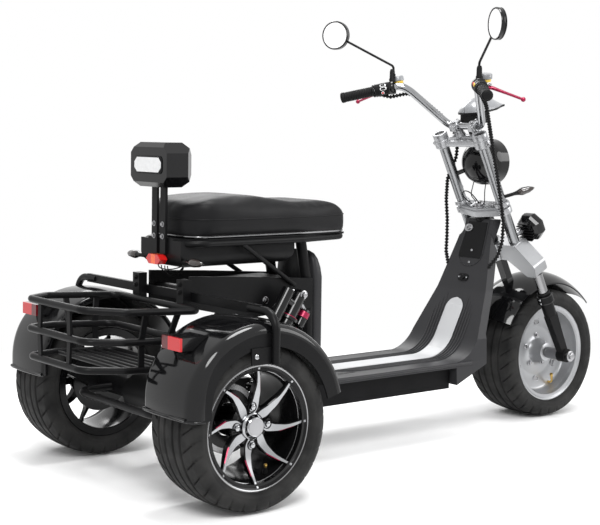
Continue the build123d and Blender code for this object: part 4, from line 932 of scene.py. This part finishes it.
def ribbed(points):
    """Points at even steps along a route, with a radius that rises and falls like a corrugated hose."""
    places, sizes = [points[0]], [LOOM_RADIUS]
    step, carried = LOOM_PITCH / 4, 0.0
    for first, second in zip(points, points[1:]):
        length = (second - first).length
        while carried + step <= length:
            carried += step
            sizes.append(LOOM_RADIUS - (LOOM_RIB if len(places) % 4 in (0, 1) else 0))
            places.append(first.lerp(second, carried / length))
        carried -= length
    return places, sizes


def make_looms():
    """Corrugated looms that run from the bar at the top down to the leg shield at the foot."""
    shape = Shape()
    housing = on_grip(-28, 0, 0) - Z * 19.8
    for start, side, route in ((housing, 1, LEFT_LOOM), (mirror(housing), -1, RIGHT_LOOM)):
        tail = [(x, y * side, z) for x, y, z in LOOM_TAIL]
        corners = [start] + [from_rear(*point) for point in route + tail]
        control = []
        for first, second in zip(corners, corners[1:]):
            control += [first.lerp(second, share) for share in (0, 0.3, 0.7)]
        shape.tube(*ribbed(spline_points(control + [corners[-1]], 3)), "rubber", 10)
    looms = shape.build("ribbed_looms", None, smooth=30, replaces="control_looms")
    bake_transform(looms)


make_looms()

# Leg shield, floor and pillar trim

FLOOR_TOP, FLOOR_BACK = 252, 560
SHIELD_SIDE = [(1125, FLOOR_TOP), (1238, 470), (1292, 620), (1324, 708)]
SHIELD_BEND, PATH_STEP = 130, 6
STRIP_HALF, STRIP_TOP = 39, 446
NECK_OUT, NECK_UP = Vector((-0.94, 0, 0.34)).normalized(), Vector((0.34, 0, 0.94)).normalized()
NECK_RISE = 0.94


def rounded_path(corners, radius):
    """Points along straight runs joined by arcs, each with the way up from the surface there."""
    points = [Vector(corner) for corner in corners]
    path = []

    def run(first, second):
        count = max(1, int((second - first).length / PATH_STEP))
        way = (second - first).normalized()
        for number in range(count + 1):
            path.append((first.lerp(second, number / count), Vector((-way.y, way.x))))

    start = points[0]
    for before, corner, after in zip(points, points[1:], points[2:]):
        way_in, way_out = (corner - before).normalized(), (after - corner).normalized()
        turn = way_in.angle(way_out)
        if turn < 0.05:
            continue
        reach = radius * math.tan(turn / 2)
        first = corner - way_in * reach
        run(start, first)
        inward = Vector((-way_in.y, way_in.x))
        centre = first + inward * radius
        steps = max(3, int(radius * turn / PATH_STEP))
        for number in range(1, steps):
            angle = turn * number / steps
            spoke = way_in * math.sin(angle) - inward * math.cos(angle)
            path.append((centre + spoke * radius, -spoke))
        start = corner + way_out * reach
    run(start, points[-1])
    return path


def shield_line(start_x, end_z, lift):
    """The shield's rear face along the middle, from a place on the floor up to a height, lifted off it."""
    line = []
    for place, up in rounded_path([(start_x, FLOOR_TOP), *SHIELD_SIDE], SHIELD_BEND):
        raised = place + up * lift
        if raised.y > end_z:
            break
        line.append(raised)
    return line


def on_neck(y, z, lift=0.0):
    """Point on the neck's rear face, lifted off it."""
    return from_rear(1238 + 0.362 * (z - 470), y, z) + NECK_OUT * lift


def make_strip():
    """The pale grip strip: a tongue with a round top that runs from the shield down along the floor."""
    line = shield_line(FLOOR_BACK, STRIP_TOP, 3.2)
    rows = []
    for place in line:
        below_top = (line[-1] - place).length
        half = STRIP_HALF
        if below_top < STRIP_HALF:
            half = math.sqrt(max(STRIP_HALF ** 2 - (STRIP_HALF - below_top) ** 2, 4))
        section = ((-half, -2.2), (-half + 1.5, 0), (half - 1.5, 0), (half, -2.2))
        rows.append([from_rear(place.x, y, place.y + rise) for y, rise in section])
    shape = Shape()
    shape.rows(rows, "grip_strip", round_points=False)
    shape.build("grip_tongue", "chassis", smooth=50, replaces="grip_strip")


def make_floor_ribs():
    """Raised ribs that run up the shield beside the strip and round its top, slots, and the floor's lip."""
    shape = Shape()
    for number, (offset, end_z) in enumerate(((50, 452), (62, 440), (74, 426), (86, 408))):
        line = shield_line(600 + 14 * number, end_z, 0.6)
        sizes = [2.4 * smooth_step(0, 12, min(k, len(line) - 1 - k) + 1) + 0.2 for k in range(len(line))]
        for y in (offset, -offset):
            shape.tube([from_rear(place.x, y, place.y) for place in line], sizes, "shield_grey", 8)
    angles = [math.pi * number / 30 for number in range(31)]
    foot = from_rear(1221, 0, 412) + NECK_OUT * 0.8
    arch = [foot + NECK_UP * 76 * math.sin(angle) + Y * 76 * math.cos(angle) for angle in angles]
    shape.tube(arch, 2.2, "shield_grey", 8)
    # The slots are thin flat dark shapes laid on the floor: painted shade standing in for the openings.
    slot = rounded_outline(20, 6, 2.8, 3)
    for x in (610, 634, 658):
        for y in (-96, -60, -24, 24, 60, 96):
            shape.prism(slot, from_rear(x, y, FLOOR_TOP + 0.2), X, Y, 0.9, "inset_black")
    shape.build("floor_ribs", "chassis", smooth=50)

    lip = Shape()
    half = box("leg_shield")[1].y
    edge = ((522, half - 4), (545, half), (837.5, half), (1130, half))
    for side in (1, -1):
        route = [from_rear(x, side * y, FLOOR_TOP - 5) for x, y in edge]
        lip.tube(spline_points(route, 10), 6.2, "shield_grey", 12)
    lip.build("floor_lip", "chassis", smooth=60)


def make_neck_trim():
    """Inset panel, key lock, screws and charging port on the neck."""
    shape = Shape()
    corners = [(-52, 575), (52, 575), (47, 640), (40, 696), (-40, 696), (-47, 640)]
    panel = [(y, (z - 640) / NECK_RISE) for y, z in corners]
    shape.prism(panel, on_neck(0, 640, 0.2), Y, NECK_UP, -2.2, "inset_black")
    angles = [math.pi * (1 + number / 24) for number in range(25)]
    edge = [on_neck(54 * math.cos(angle), 590 + 42 * math.sin(angle), 1) for angle in angles]
    shape.tube(edge, 1.6, "shield_grey", 8)
    for side in (1, -1):
        ridge = [on_neck(side * y, z, 1) for y, z in ((54, 590), (52, 640), (45, 700))]
        shape.tube(spline_points(ridge, 8), 2.2, "shield_grey", 8)
    for z, lift in ((560, 0.5), (600, 2.6)):
        shape.screw(on_neck(-4, z, lift), NECK_OUT, 4.8, "chrome")

    lock = on_neck(36, 674, 1)
    oval = [(19 * x, 13.5 * y) for x, y in circle(1, 32)]
    shape.prism(oval, lock, Y, NECK_UP, -4.5, "steel")
    shape.lathe([(9.5, 4), (9.5, 7.8), (8, 8.6), (0, 8.6)], lock, NECK_OUT, "stanchion", 28)
    # The keyhole is a thin dark shape on the cylinder: painted shade standing in for the hole.
    keyhole = rounded_outline(1.6, 8, 0.7, 2)
    shape.prism(keyhole, lock + NECK_OUT * 9.3, Y, NECK_UP, -0.4, "inset_black")

    port = on_neck(4, 508, 0.3)
    shape.prism(rounded_outline(46, 26, 12.5, 6), port, Y, NECK_UP, -3.2, "moulded_black")
    for y in (-17, 17):
        shape.screw(port + Y * y + NECK_OUT * 3, NECK_OUT, 3.6, "chrome")
    shape.lathe([(8.8, 3), (8.8, 6.2), (7.8, 7), (0, 7)], port, NECK_OUT, "inset_black", 24)
    shape.build("neck_trim", "chassis", smooth=35)


def make_pillar():
    """Pillar cover with a rounded head that leans back under the seat, and its raised front pad."""
    low, high = box("pillar_cover")
    thickness, pad_height = 36, 425.5
    levels = ((low.z, 0), (500, 0), (560, 0), (590, 4), (615, 11), (631, 21), (high.z, 36))
    rows = []
    for height, inset in levels:
        depth = thickness - inset * 0.75
        outline = rounded_outline(depth, 2 * (high.y - inset), min(12, depth * 0.45), 4)
        rows.append([Vector((low.x + depth / 2 + x, y, height)) for x, y in outline])
    shape = Shape()
    shape.rows(rows, "shield_grey", caps=True)
    pad = rounded_outline(124, 281, 34, 6)
    front = low.x + thickness - 1
    shape.prism(pad, Vector((front, 0, pad_height)), Y, Z, high.x - front, "shield_grey", 6)
    # The groove round the pad is a thin dark tube on its face: painted shade standing in for the groove's
    # hollow.
    groove = [Vector((high.x + 0.2, y * 0.78, pad_height + z * 0.88)) for y, z in pad]
    shape.tube(groove, 1.2, "inset_black", 6, closed=True)
    shape.build("pillar_shell", "chassis", smooth=45, replaces="pillar_cover")


make_strip()
make_floor_ribs()
make_neck_trim()
make_pillar()

# Instrument visor and lamps

VISOR_STATIONS, VISOR_ACROSS = 20, 16
VISOR_CROWN, VISOR_LIP, VISOR_LIP_RISE = 44, 1072, 34
SPOT_ALONG = 470


def make_visor():
    """A domed cap that ends in a peak, over a dark instrument body on a post."""
    low, high = box("instrument_pod")
    lines = [2 * k / VISOR_ACROSS - 1 for k in range(VISOR_ACROSS + 1)]
    top, under = [], []
    for number in range(VISOR_STATIONS + 1):
        share = number / VISOR_STATIONS
        x = low.x + (high.x - low.x) * share
        base = VISOR_LIP + VISOR_LIP_RISE * share
        lift = VISOR_CROWN * math.sin(math.pi * min(0.06 + share * 0.94, 1) ** 0.8) ** 0.9
        rounding = min(1.0, (1 - (1 - min(share / 0.28, 1)) ** 2) ** 0.5 + 0.02)
        half = high.y * rounding * (1 - 0.55 * smooth_step(0.5, 1.0, share))
        top.append([Vector((x, half * v, base + lift * math.cos(v * math.pi / 2) ** 0.8)) for v in lines])
        under.append([Vector((x, half * v, base - 7)) for v in lines])
    shape = Shape()
    # The visor's top is flat light grey, a painted reflection of the sky on its black gloss; its underside and
    # ends are black.
    shape.rows(top, "cap_grey_and_painted_visor_sheen", round_points=False)
    shape.rows(under, "inset_black", round_points=False)
    for end in (0, -1):
        shape.rows([[row[end] for row in top], [row[end] for row in under]], "inset_black", round_points=False)
        shape.rows([top[end], under[end]], "inset_black", round_points=False)
    shape.prism(rounded_outline(74, 82, 16, 4), Vector((low.x + 52, 0, 1040)), X, Y, 42, "moulded_black")
    post = [(4, 18), (-4, 18), (-4, -18), (4, -18)]
    shape.prism(post, on_fork(65, 0, 818), FORK_AHEAD, Y, 98, "inset_black")
    shape.build("instrument_visor", "steering", smooth=55, replaces="instrument_pod")


def make_spots():
    """Faceted black lamps with cooling fins at the back and three lenses in front."""
    shape = Shape()
    centre = on_fork(74, 112, SPOT_ALONG)
    body = [
        (0, -28), (20, -28), (26, -22), (44, -12), (50, -2), (50.5, 12), (47, 22), (43, 24), (41, 19), (0, 19),
    ]
    rows = []
    for radius, height in body:
        ring = circle(radius, 8, math.pi / 8)
        rows.append([centre + FORK_AHEAD * height + Y * y + FORK_UP * z for y, z in ring])
    shape.rows(rows, lambda i, j: "gloss_black" if i < 8 else "inset_black")
    for number in range(-3, 4):
        height = number * 10.5
        reach = 1.2 * math.sqrt(1 - (height / 40) ** 2)
        fin = [(-30 * reach, -34), (30 * reach, -34), (24 * reach, -14), (-24 * reach, -14)]
        shape.prism(fin, centre + FORK_UP * (height - 1.6), Y, FORK_AHEAD, 3.2, "moulded_black")
    for side, rise in ((0, 18), (17, -12), (-17, -12)):
        lens = [(13, 19), (13, 23), (8, 26), (0, 26.8)]
        shape.lathe(lens, centre + Y * side + FORK_UP * rise, FORK_AHEAD, "clear_lens", 20)
    shape.tube([on_fork(18, 92, SPOT_ALONG), on_fork(52, 98, SPOT_ALONG)], 9, "cast_silver", 14)
    shape.bolt(on_fork(36, 95, SPOT_ALONG + 8), FORK_UP, 5, 6)
    shape.build(
        "spot_lamps", "steering", smooth=20, mirrored=True, replaces="spot_lights"
    )


def add_leaf(shape, root, way, up, length):
    """A pointed leaf-shaped lamp that grows from a root along a way."""
    deep = way.cross(up).normalized() * 15.8
    tall = deep.cross(way).normalized() * 12.8
    widths = [(0, 0.42), (0.12, 0.55), (0.42, 1.0), (0.7, 0.86), (0.9, 0.5), (1.0, 0.08)]
    rows = []
    for number in range(17):
        share = number / 16
        size = blend_between(widths, share)
        rows.append([root + way * length * share + deep * x + tall * y for x, y in circle(size, 20)])
    shape.rows(rows, lambda i, j: "smoked_lens" if i > 3 and 6 <= j < 14 else "gloss_black", caps=True)


def make_indicators():
    """Leaf-shaped lamps on short stalks, front and rear."""
    front = Shape()
    start, end = on_fork(12.7, 104.7, 622), on_fork(33.9, 125.9, 622)
    way = (end - start).normalized()
    front.tube([start, end], 6, "moulded_black", 14)
    add_leaf(front, end - way * 2, way, FORK_UP, 74)
    front.build(
        "front_leaf_lamps", "steering", smooth=60, mirrored=True, replaces="front_indicators"
    )
    rear = Shape()
    middle = box_centre("rear_indicators")
    middle.y = 0
    rear.tube([middle + Y * 36, middle + Y * 122], 6, "moulded_black", 14)
    add_leaf(rear, middle + Y * 120, Y, Z, 76)
    rear.build(
        "rear_leaf_lamps", "chassis", smooth=60, mirrored=True, replaces="rear_indicators"
    )


make_visor()
make_spots()

# Handlebar, clamps and fork trim

TUBE_SIDE, LEG_SIDE, RISER_SIDE = 92, 150, 42
CLAMP_ALONG, TUBE_TOP, PLATE_ALONG, BAR_ALONG = 815, 862, 566, 875


def make_bar():
    """The bar as one smooth bent tube."""
    corner = bar_point(0, 75, 0)
    route = [
        BAR_MIDDLE, bar_point(0, 40, 0), corner, corner.lerp(BAR_PEAK, 0.35), corner.lerp(BAR_PEAK, 0.55),
        BAR_PEAK, BAR_PEAK.lerp(BAR_END, 0.24), BAR_END,
    ]
    half = spline_points(route, 6)
    shape = Shape()
    shape.tube([mirror(point) for point in reversed(half[1:])] + half, 13, "chrome", 28)
    shape.build("bent_bar", "steering", smooth=60, replaces="handlebar")


def add_bar(shape, start, end, width, height):
    """A straight cast bar with a rounded section that stands along the fork."""
    across = (end - start).cross(FORK_UP).normalized()
    outline = rounded_outline(width, height, min(width, height) * 0.42, 5)
    rows = [[place + across * x + FORK_UP * z for x, z in outline] for place in (start, end)]
    shape.rows(rows, "silver_paint", caps=True)


def make_clamps():
    """The cast top clamp with its risers and the collars of the lower one."""
    shape = Shape()

    def turned(profile, ahead, side, along, segments, axis=FORK_UP):
        shape.lathe(profile, on_fork(ahead, side, along), axis, "silver_paint", segments)

    turned([(18.2, 0), (24.5, 0), (27.2, 3), (27.2, 27), (24.5, 30), (18.2, 30)], 0, TUBE_SIDE, CLAMP_ALONG, 48)
    add_bar(shape, on_fork(8, 82, 830), on_fork(43, 38, 831), 34, 27)
    add_bar(shape, on_fork(41, 44, 829), on_fork(41, 0, 829), 30, 22)
    add_bar(shape, on_fork(0, 80, 828), on_fork(0, 0, 828), 26, 20)
    turned([(21.5, 0), (19.5, 6), (17.2, 12), (17.2, 30)], 41, RISER_SIDE, 838, 32)
    grip = [(13.2, -15), (17.8, -15), (19.2, -13.5), (19.2, 13.5), (17.8, 15), (13.2, 15)]
    turned(grip, 41, RISER_SIDE, BAR_ALONG, 40, Y)
    for ahead in (19, 63):
        lug = on_fork(ahead, RISER_SIDE, 866)
        shape.prism(rounded_outline(12, 26, 5, 4), lug, FORK_AHEAD, Y, 18, "silver_paint", 2)
        shape.screw(lug + FORK_UP * 18, FORK_UP, 4.5)
    ear = on_fork(-4, 118, 830)
    shape.tube([ear - Y * 8, ear + Y * 6], 8.5, "silver_paint", 20)
    shape.bolt(ear + Y * 6, Y, 5.5, 7)
    turned([(18.2, 0), (26.2, 0), (26.8, 2), (26.2, 8), (23, 13), (18.2, 13.5)], 0, TUBE_SIDE, 594, 40)
    shape.screw(on_fork(-6, 52, 596), FORK_UP, 5)
    shape.build("cast_clamps", "steering", mirrored=True, replaces="fork_clamps")


def make_neck_plate():
    """The stacked plate above the neck, with the nut of the steering head."""
    rims = []
    for ahead, side, radius in ((0, TUBE_SIDE, 27), (0, -TUBE_SIDE, 27), (-16, 0, 30)):
        rims += [(ahead + x, side + y) for x, y in circle(radius, 36)]
    outline = [rims[number] for number in convex_hull_2d(rims)]
    shape = Shape()
    shape.prism(outline, on_fork(0, 0, PLATE_ALONG), FORK_AHEAD, Y, 22, "silver_paint", 4)
    inner = [(x * 0.82 - 2, y * 0.93) for x, y in outline]
    shape.prism(inner, on_fork(0, 0, PLATE_ALONG + 21), FORK_AHEAD, Y, 9, "cast_silver", 3)
    nut = [(21, 0), (21, 5), (17, 7), (15, 14), (8, 16), (0, 16)]
    shape.lathe(nut, on_fork(-16, 0, PLATE_ALONG + 29), FORK_UP, "steel", 36)
    shape.build("neck_plate", "steering", smooth=35)


def make_fork_trim():
    """Bolts, nuts and collars of the fork legs, clamps and crown."""
    shape = Shape()
    shape.bolt(FRONT + Y * (box("fork_legs")[1].y + 1), Y, 13, 12)
    for along in (224, 239):
        shape.screw(on_fork(-27, LEG_SIDE, along), -FORK_AHEAD, 4.5, "chrome")
    for along in (219, 245):
        shape.lathe([(28.5, 0), (29.2, 2), (28.5, 4)], on_fork(0, LEG_SIDE, along), FORK_UP, "gloss_black", 36)
    for along in (574, 588):
        shape.screw(on_fork(-27, TUBE_SIDE, along), -FORK_AHEAD, 4, "chrome")
    top = on_fork(0, TUBE_SIDE, TUBE_TOP)
    collar = [(24.5, -17), (25.5, -15), (25.5, 2), (24, 4.5), (17.6, 4.5), (16.8, 1)]
    shape.lathe(collar, top, FORK_UP, "silver_paint", 36)
    # A dark disc closes the top of each hollow tube: painted shade standing in for its inside.
    shape.lathe([(17, 1.2), (0, 1.2)], top, FORK_UP, "inset_black", 36)
    shape.bolt(on_fork(0, 120, 830), Y, 7, 9, "chrome")
    for ahead in (30, 52):
        shape.screw(on_fork(ahead, RISER_SIDE, 893.2), FORK_UP, 4.5)
    seal = [(21.2, 0), (22.5, 3), (22.5, 10), (19.5, 13)]
    shape.lathe(seal, on_fork(0, LEG_SIDE, 245), FORK_UP, "rubber", 36)
    for ahead in (-12, 14):
        shape.bolt(on_fork(ahead, 128, 379), FORK_UP, 6, 6, "chrome")
    shape.build("fork_trim", "steering", mirrored=True)


make_bar()
make_neck_plate()
make_clamps()

# Rear fenders

FENDER_RADIUS, FENDER_TAIL_RADIUS = 280, 195
FENDER_START, FENDER_TURN, FENDER_END = 15, 125, 180
FENDER_SKIN, FENDER_SKIRT, FENDER_DOME, FENDER_BEND = 5, 66, 4, 28
FENDER_INSIDE = TRACK_HALF - 109


def fender_section(bend):
    """Section as (height above the fender's radius, side): the outer skin, then the inner one back."""
    outside = [(-18, FENDER_INSIDE), (-9, FENDER_INSIDE + 1), (-5, FENDER_INSIDE + 5)]
    start, end = FENDER_INSIDE + 14, FENDER_SIDE - bend
    for number in range(9):
        share = number / 8
        outside.append((-FENDER_DOME * (2 * share - 1) ** 2, start + (end - start) * share))
    for number in range(1, 9):
        angle = math.pi / 2 * number / 8
        drop = FENDER_DOME + (bend - FENDER_DOME) * (1 - math.cos(angle))
        outside.append((-drop, end + bend * math.sin(angle)))
    outside += [(-bend - 2, FENDER_SIDE), (-FENDER_SKIRT, FENDER_SIDE)]
    inside = []
    for rise, y in reversed(outside):
        if y < FENDER_SIDE - bend * 0.5:
            inside.append((rise - FENDER_SKIN * 0.9, y))
        else:
            inside.append((max(rise - FENDER_SKIN * 0.6, -FENDER_SKIRT), y - FENDER_SKIN))
    return outside, inside


def make_fenders():
    """Shells swept over the tyres, with a domed top, a round shoulder and a flat skirt."""
    centre = from_rear(5, 0, TYRE_RADIUS + 4)
    tail = centre + wheel_way(math.radians(FENDER_TURN)) * (FENDER_RADIUS - FENDER_TAIL_RADIUS)
    rows = []

    def sweep(middle, radius, degrees, bend):
        outside, inside = fender_section(bend)
        way = wheel_way(math.radians(degrees))
        rows.append([middle + way * (radius + rise) + Y * y for rise, y in outside + inside])
        return len(outside)

    for number in range(23):
        degrees = FENDER_START + (FENDER_TURN - FENDER_START) * number / 22
        sweep(centre, FENDER_RADIUS, degrees, FENDER_BEND)
    for number in range(1, 13):
        degrees = FENDER_TURN + (FENDER_END - FENDER_TURN) * number / 12
        edge = sweep(tail, FENDER_TAIL_RADIUS, degrees, FENDER_BEND + 14 * smooth_step(0, 12, number))
    foot = rows[-1]
    rows += [[point - Z * drop for point in foot] for drop in (15, 30)]
    shape = Shape()
    shape.rows(rows, lambda i, j: "powder_black" if j >= edge - 2 else "gloss_black", caps=True)
    shape.tube(rows[-1][1:edge - 1], 3.8, "gloss_black", 10)
    shape.build("fender_shells", "chassis", mirrored=True, replaces="rear_fenders")


make_fenders()
make_indicators()

# Front wheel


def make_front_rim():
    """A deep-dished silver rim with a narrow bead ring and a coned hub."""
    half = [
        (BARREL_RADIUS, 0), (BARREL_RADIUS, 83), (165.5, 84), (FLANGE_RADIUS, 86.5), (168.5, 89.5),
        (166, RIM_HALF), (162.8, 88.5), (158.5, 83), (155, 81.2), (152.8, 74.5), (150, 66), (145.5, 52),
        (142.5, 38), (138.5, 32), (133, 30.2), (112, 26.8), (92, 23.5), (88, 24.5), (84, 23.5), (60, 23.5),
        (46, 25), (41, 29), (36, 44), (33, 60), (32, 73.5), (30, 75), (10.5, 75),
    ]
    shape = Shape()
    for out in (Y, -Y):
        shape.lathe(half, FRONT, out, "rim_silver", 96)
    return shape.build("dished_rim", "front_wheel", smooth=45, replaces="front_rim")


def make_front_trim(rim):
    """Stamped holes and nuts on both faces of the dish, and a bent valve."""
    dish = Surface(rim.data)
    for hand, side in SIDES:
        out = Y * side
        shape = Shape()
        for number in range(6):
            place = FRONT + wheel_way(2 * math.pi * (number + 0.5) / 6) * 106
            hole = dish.hit(place + out * 200, -out, 0.4)
            shape.lathe([(13.5, -1), (13, 1), (11.5, 1.4)], hole, out, "rim_silver", 24)
            shape.lathe([(11.5, 1.4), (10.5, 0.2), (0, 0.2)], hole, out, "stanchion", 24)
        for number in range(5):
            place = FRONT + wheel_way(2 * math.pi * number / 5 + 0.3) * 55
            shape.bolt(dish.hit(place + out * 200, -out), out, 6.5, 9)
        shape.build(f"front_wheel_trim_{hand}", "front_wheel")
    valve = Shape()
    radial = wheel_way(math.radians(-62))
    foot = dish.hit(FRONT + radial * 135 - Y * 200, Y)
    path = spline_points([foot - Y * out - radial * up for out, up in ((0, 0), (14, 0), (22, 14), (26, 30))], 3)
    valve.tube(path, 4.2, "brass")
    valve.lathe([(5.6, 0), (5.6, 9), (0, 10)], path[-1], (path[-1] - path[-2]).normalized(), "brass", 14)
    valve.build("front_valve", "front_wheel", smooth=50)


make_front_trim(make_front_rim())
make_fork_trim()

# Rear end trim and wires


def make_rear_trim():
    """Bolts on the hoop, the frame, the side plates and the shocks, and a lip at the foot of the fenders."""
    shape = Shape()
    shape.screw(from_rear(-36, box("fender_hoop")[1].y - 18, 424), Y, 7.5, "chrome")
    for z in (548, 570):
        shape.bolt(from_rear(-12.2, 115, z), -X, 5.5, 6, "powder_black")
    plates = Surface(nodes["rear_frame"].data)
    for x, z in ((190, 500), (300, 505), (405, 520), (405, 470)):
        shape.bolt(plates.hit(from_rear(x, 300, z), -Y), Y, 7.5, 8, "stanchion")
    for end in (SHOCK_HIGH, SHOCK_LOW):
        shape.bolt(end + Y * 16, Y, 9, 10)
    low, _ = box("rear_fenders")
    lip = [Vector((low.x + 3, y, low.z + 4)) for y in (TRACK_HALF - 105, TRACK_HALF + 88)]
    shape.tube(lip, 4.2, "gloss_black", 10)
    shape.build("rear_trim", "chassis", mirrored=True)


def make_wires():
    """Thin wires that hang from the tail lamps, and those behind the headlight."""
    rear = Shape()
    for number, (side, sag) in enumerate(((-22, 26), (-8, 40), (10, 34), (26, 20))):
        start, end = from_rear(8, side, 614), from_rear(70 + 8 * number, side * 0.6, 618)
        droop = Z * sag / 1.8
        route = [start, start - droop, start.lerp(end, 0.5) - Z * sag, end - droop, end]
        rear.tube(spline_points(route), 1.7, "rubber", 6)
    rear.build("tail_wires", "chassis", smooth=60)

    front = Shape()
    for side, drop in ((-30, 12), (22, 30)):
        start, end = on_fork(44, side, 700), on_fork(-8, side * 0.7, 604)
        bulge = start.lerp(end, 0.5) + Vector((-20, side * 0.4, -drop))
        route = [start, start.lerp(bulge, 0.6), bulge, bulge.lerp(end, 0.6), end]
        front.tube(spline_points(route), 1.8, "rubber", 6)
    loop = ((-14, 34, 600), (-26, 58, 632), (-30, 34, 664), (-30, -4, 650), (-22, -10, 606))
    front.tube(spline_points([on_fork(*point) for point in loop]), 2, "rubber", 6)
    front.build("lamp_wires", "steering", smooth=60)


make_rear_trim()
make_wires()

# Camera, worked out for an image of this size in pixels

IMAGE_WIDTH, IMAGE_HEIGHT = 600, 525
FOCAL_PIXELS = 1343.15
PRINCIPAL_POINT = (223.05, 193.05)
CAMERA_PLACE = from_rear(-2138, -3228, 1015) * MM
CAMERA_YAW, CAMERA_PITCH, CAMERA_ROLL = 0.940, -0.049, 0.011
SENSOR = 36.0

scene = bpy.context.scene
camera_data = bpy.data.cameras.new("camera")
camera_data.sensor_width = SENSOR
camera_data.sensor_fit = "HORIZONTAL"
camera_data.lens = FOCAL_PIXELS / IMAGE_WIDTH * SENSOR
camera_data.shift_x = (IMAGE_WIDTH / 2 - PRINCIPAL_POINT[0]) / IMAGE_WIDTH
camera_data.shift_y = (PRINCIPAL_POINT[1] - IMAGE_HEIGHT / 2) / IMAGE_WIDTH
camera_data.clip_end = 100
camera = bpy.data.objects.new("camera", camera_data)
level = Vector((math.cos(CAMERA_YAW), math.sin(CAMERA_YAW), 0))
ahead = level * math.cos(CAMERA_PITCH) + Z * math.sin(CAMERA_PITCH)
level_right = level.cross(Z)
level_up = level_right.cross(ahead)
right = level_right * math.cos(CAMERA_ROLL) + level_up * math.sin(CAMERA_ROLL)
up = level_up * math.cos(CAMERA_ROLL) - level_right * math.sin(CAMERA_ROLL)
camera.matrix_world = Matrix.Translation(CAMERA_PLACE) @ Matrix((right, up, -ahead)).transposed().to_4x4()
scene.collection.objects.link(camera)
scene.camera = camera

# White sky for what the camera and reflections see, and an even light from it

SKY_LIGHT = 0.5
scene.world = bpy.data.worlds.new("studio")
scene.world.use_nodes = True
links, parts = scene.world.node_tree.links, scene.world.node_tree.nodes
parts.clear()
rays = parts.new("ShaderNodeLightPath")
seen = None
for ray in ("Is Camera Ray", "Is Glossy Ray", "Is Transmission Ray"):
    either = parts.new("ShaderNodeMath")
    either.operation = "MAXIMUM"
    links.new(rays.outputs[ray], either.inputs[0])
    if seen:
        links.new(seen.outputs[0], either.inputs[1])
    seen = either
choose = parts.new("ShaderNodeMixShader")
links.new(seen.outputs[0], choose.inputs["Fac"])
for number, strength in ((1, SKY_LIGHT), (2, 1.0)):
    sky = parts.new("ShaderNodeBackground")
    sky.inputs["Color"].default_value = (1, 1, 1, 1)
    sky.inputs["Strength"].default_value = strength
    links.new(sky.outputs[0], choose.inputs[number])
links.new(choose.outputs[0], parts.new("ShaderNodeOutputWorld").inputs["Surface"])

# Pale floor that fades to plain white away from the vehicle, in metres

FLOOR_REACH = 40
FLOOR_FADE = (1.1, 2.2)
floor_mesh = bpy.data.meshes.new("floor")
corners = [(x * FLOOR_REACH, y * FLOOR_REACH, 0) for x, y in ((-1, -1), (1, -1), (1, 1), (-1, 1))]
floor_mesh.from_pydata(corners, [], [(0, 1, 2, 3)])
floor = bpy.data.objects.new("floor", floor_mesh)
surface = Finish("floor", (0.96, 0.96, 0.96), 0.8, specular=0.2).tint(0.008, 2)
distance = surface.add("ShaderNodeVectorMath", Vector=surface.place)
distance.operation = "LENGTH"
fade = surface.add(
    "ShaderNodeMapRange", Value=distance.outputs["Value"], From_Min=FLOOR_FADE[0], From_Max=FLOOR_FADE[1]
)
fade.interpolation_type = "SMOOTHSTEP"
join = surface.add("ShaderNodeMixShader", Fac=fade.outputs["Result"])
surface.feed(join.inputs[1], surface.shader.outputs["BSDF"])
surface.feed(join.inputs[2], surface.add("ShaderNodeEmission").outputs["Emission"])
surface.feed(surface.tree.nodes["Material Output"].inputs["Surface"], join.outputs["Shader"])
floor_mesh.materials.append(surface.material)
scene.collection.objects.link(floor)

# Lamps, in metres and watts

LAMP_AIM = Vector((0, 0, 0.5))
LIGHTS = [
    {"name": "key", "place": (-3.0, -3.4, 4.2), "size": 2.4, "power": 210},
    {"name": "fill", "place": (3.6, -3.6, 2.6), "size": 3.4, "power": 120},
    {"name": "rear", "place": (1.8, 4.2, 3.4), "size": 2.6, "power": 75},
    {"name": "top", "place": (0.2, 0.0, 5.0), "size": 2.2, "power": 180},
]
for light in LIGHTS:
    lamp = bpy.data.lights.new(light["name"], "AREA")
    lamp.shape = "DISK"
    lamp.size = light["size"]
    lamp.energy = light["power"]
    holder = bpy.data.objects.new(light["name"], lamp)
    holder.location = light["place"]
    holder.rotation_euler = (LAMP_AIM - Vector(light["place"])).to_track_quat("-Z", "Y").to_euler()
    scene.collection.objects.link(holder)

scene.view_settings.view_transform = "Standard"
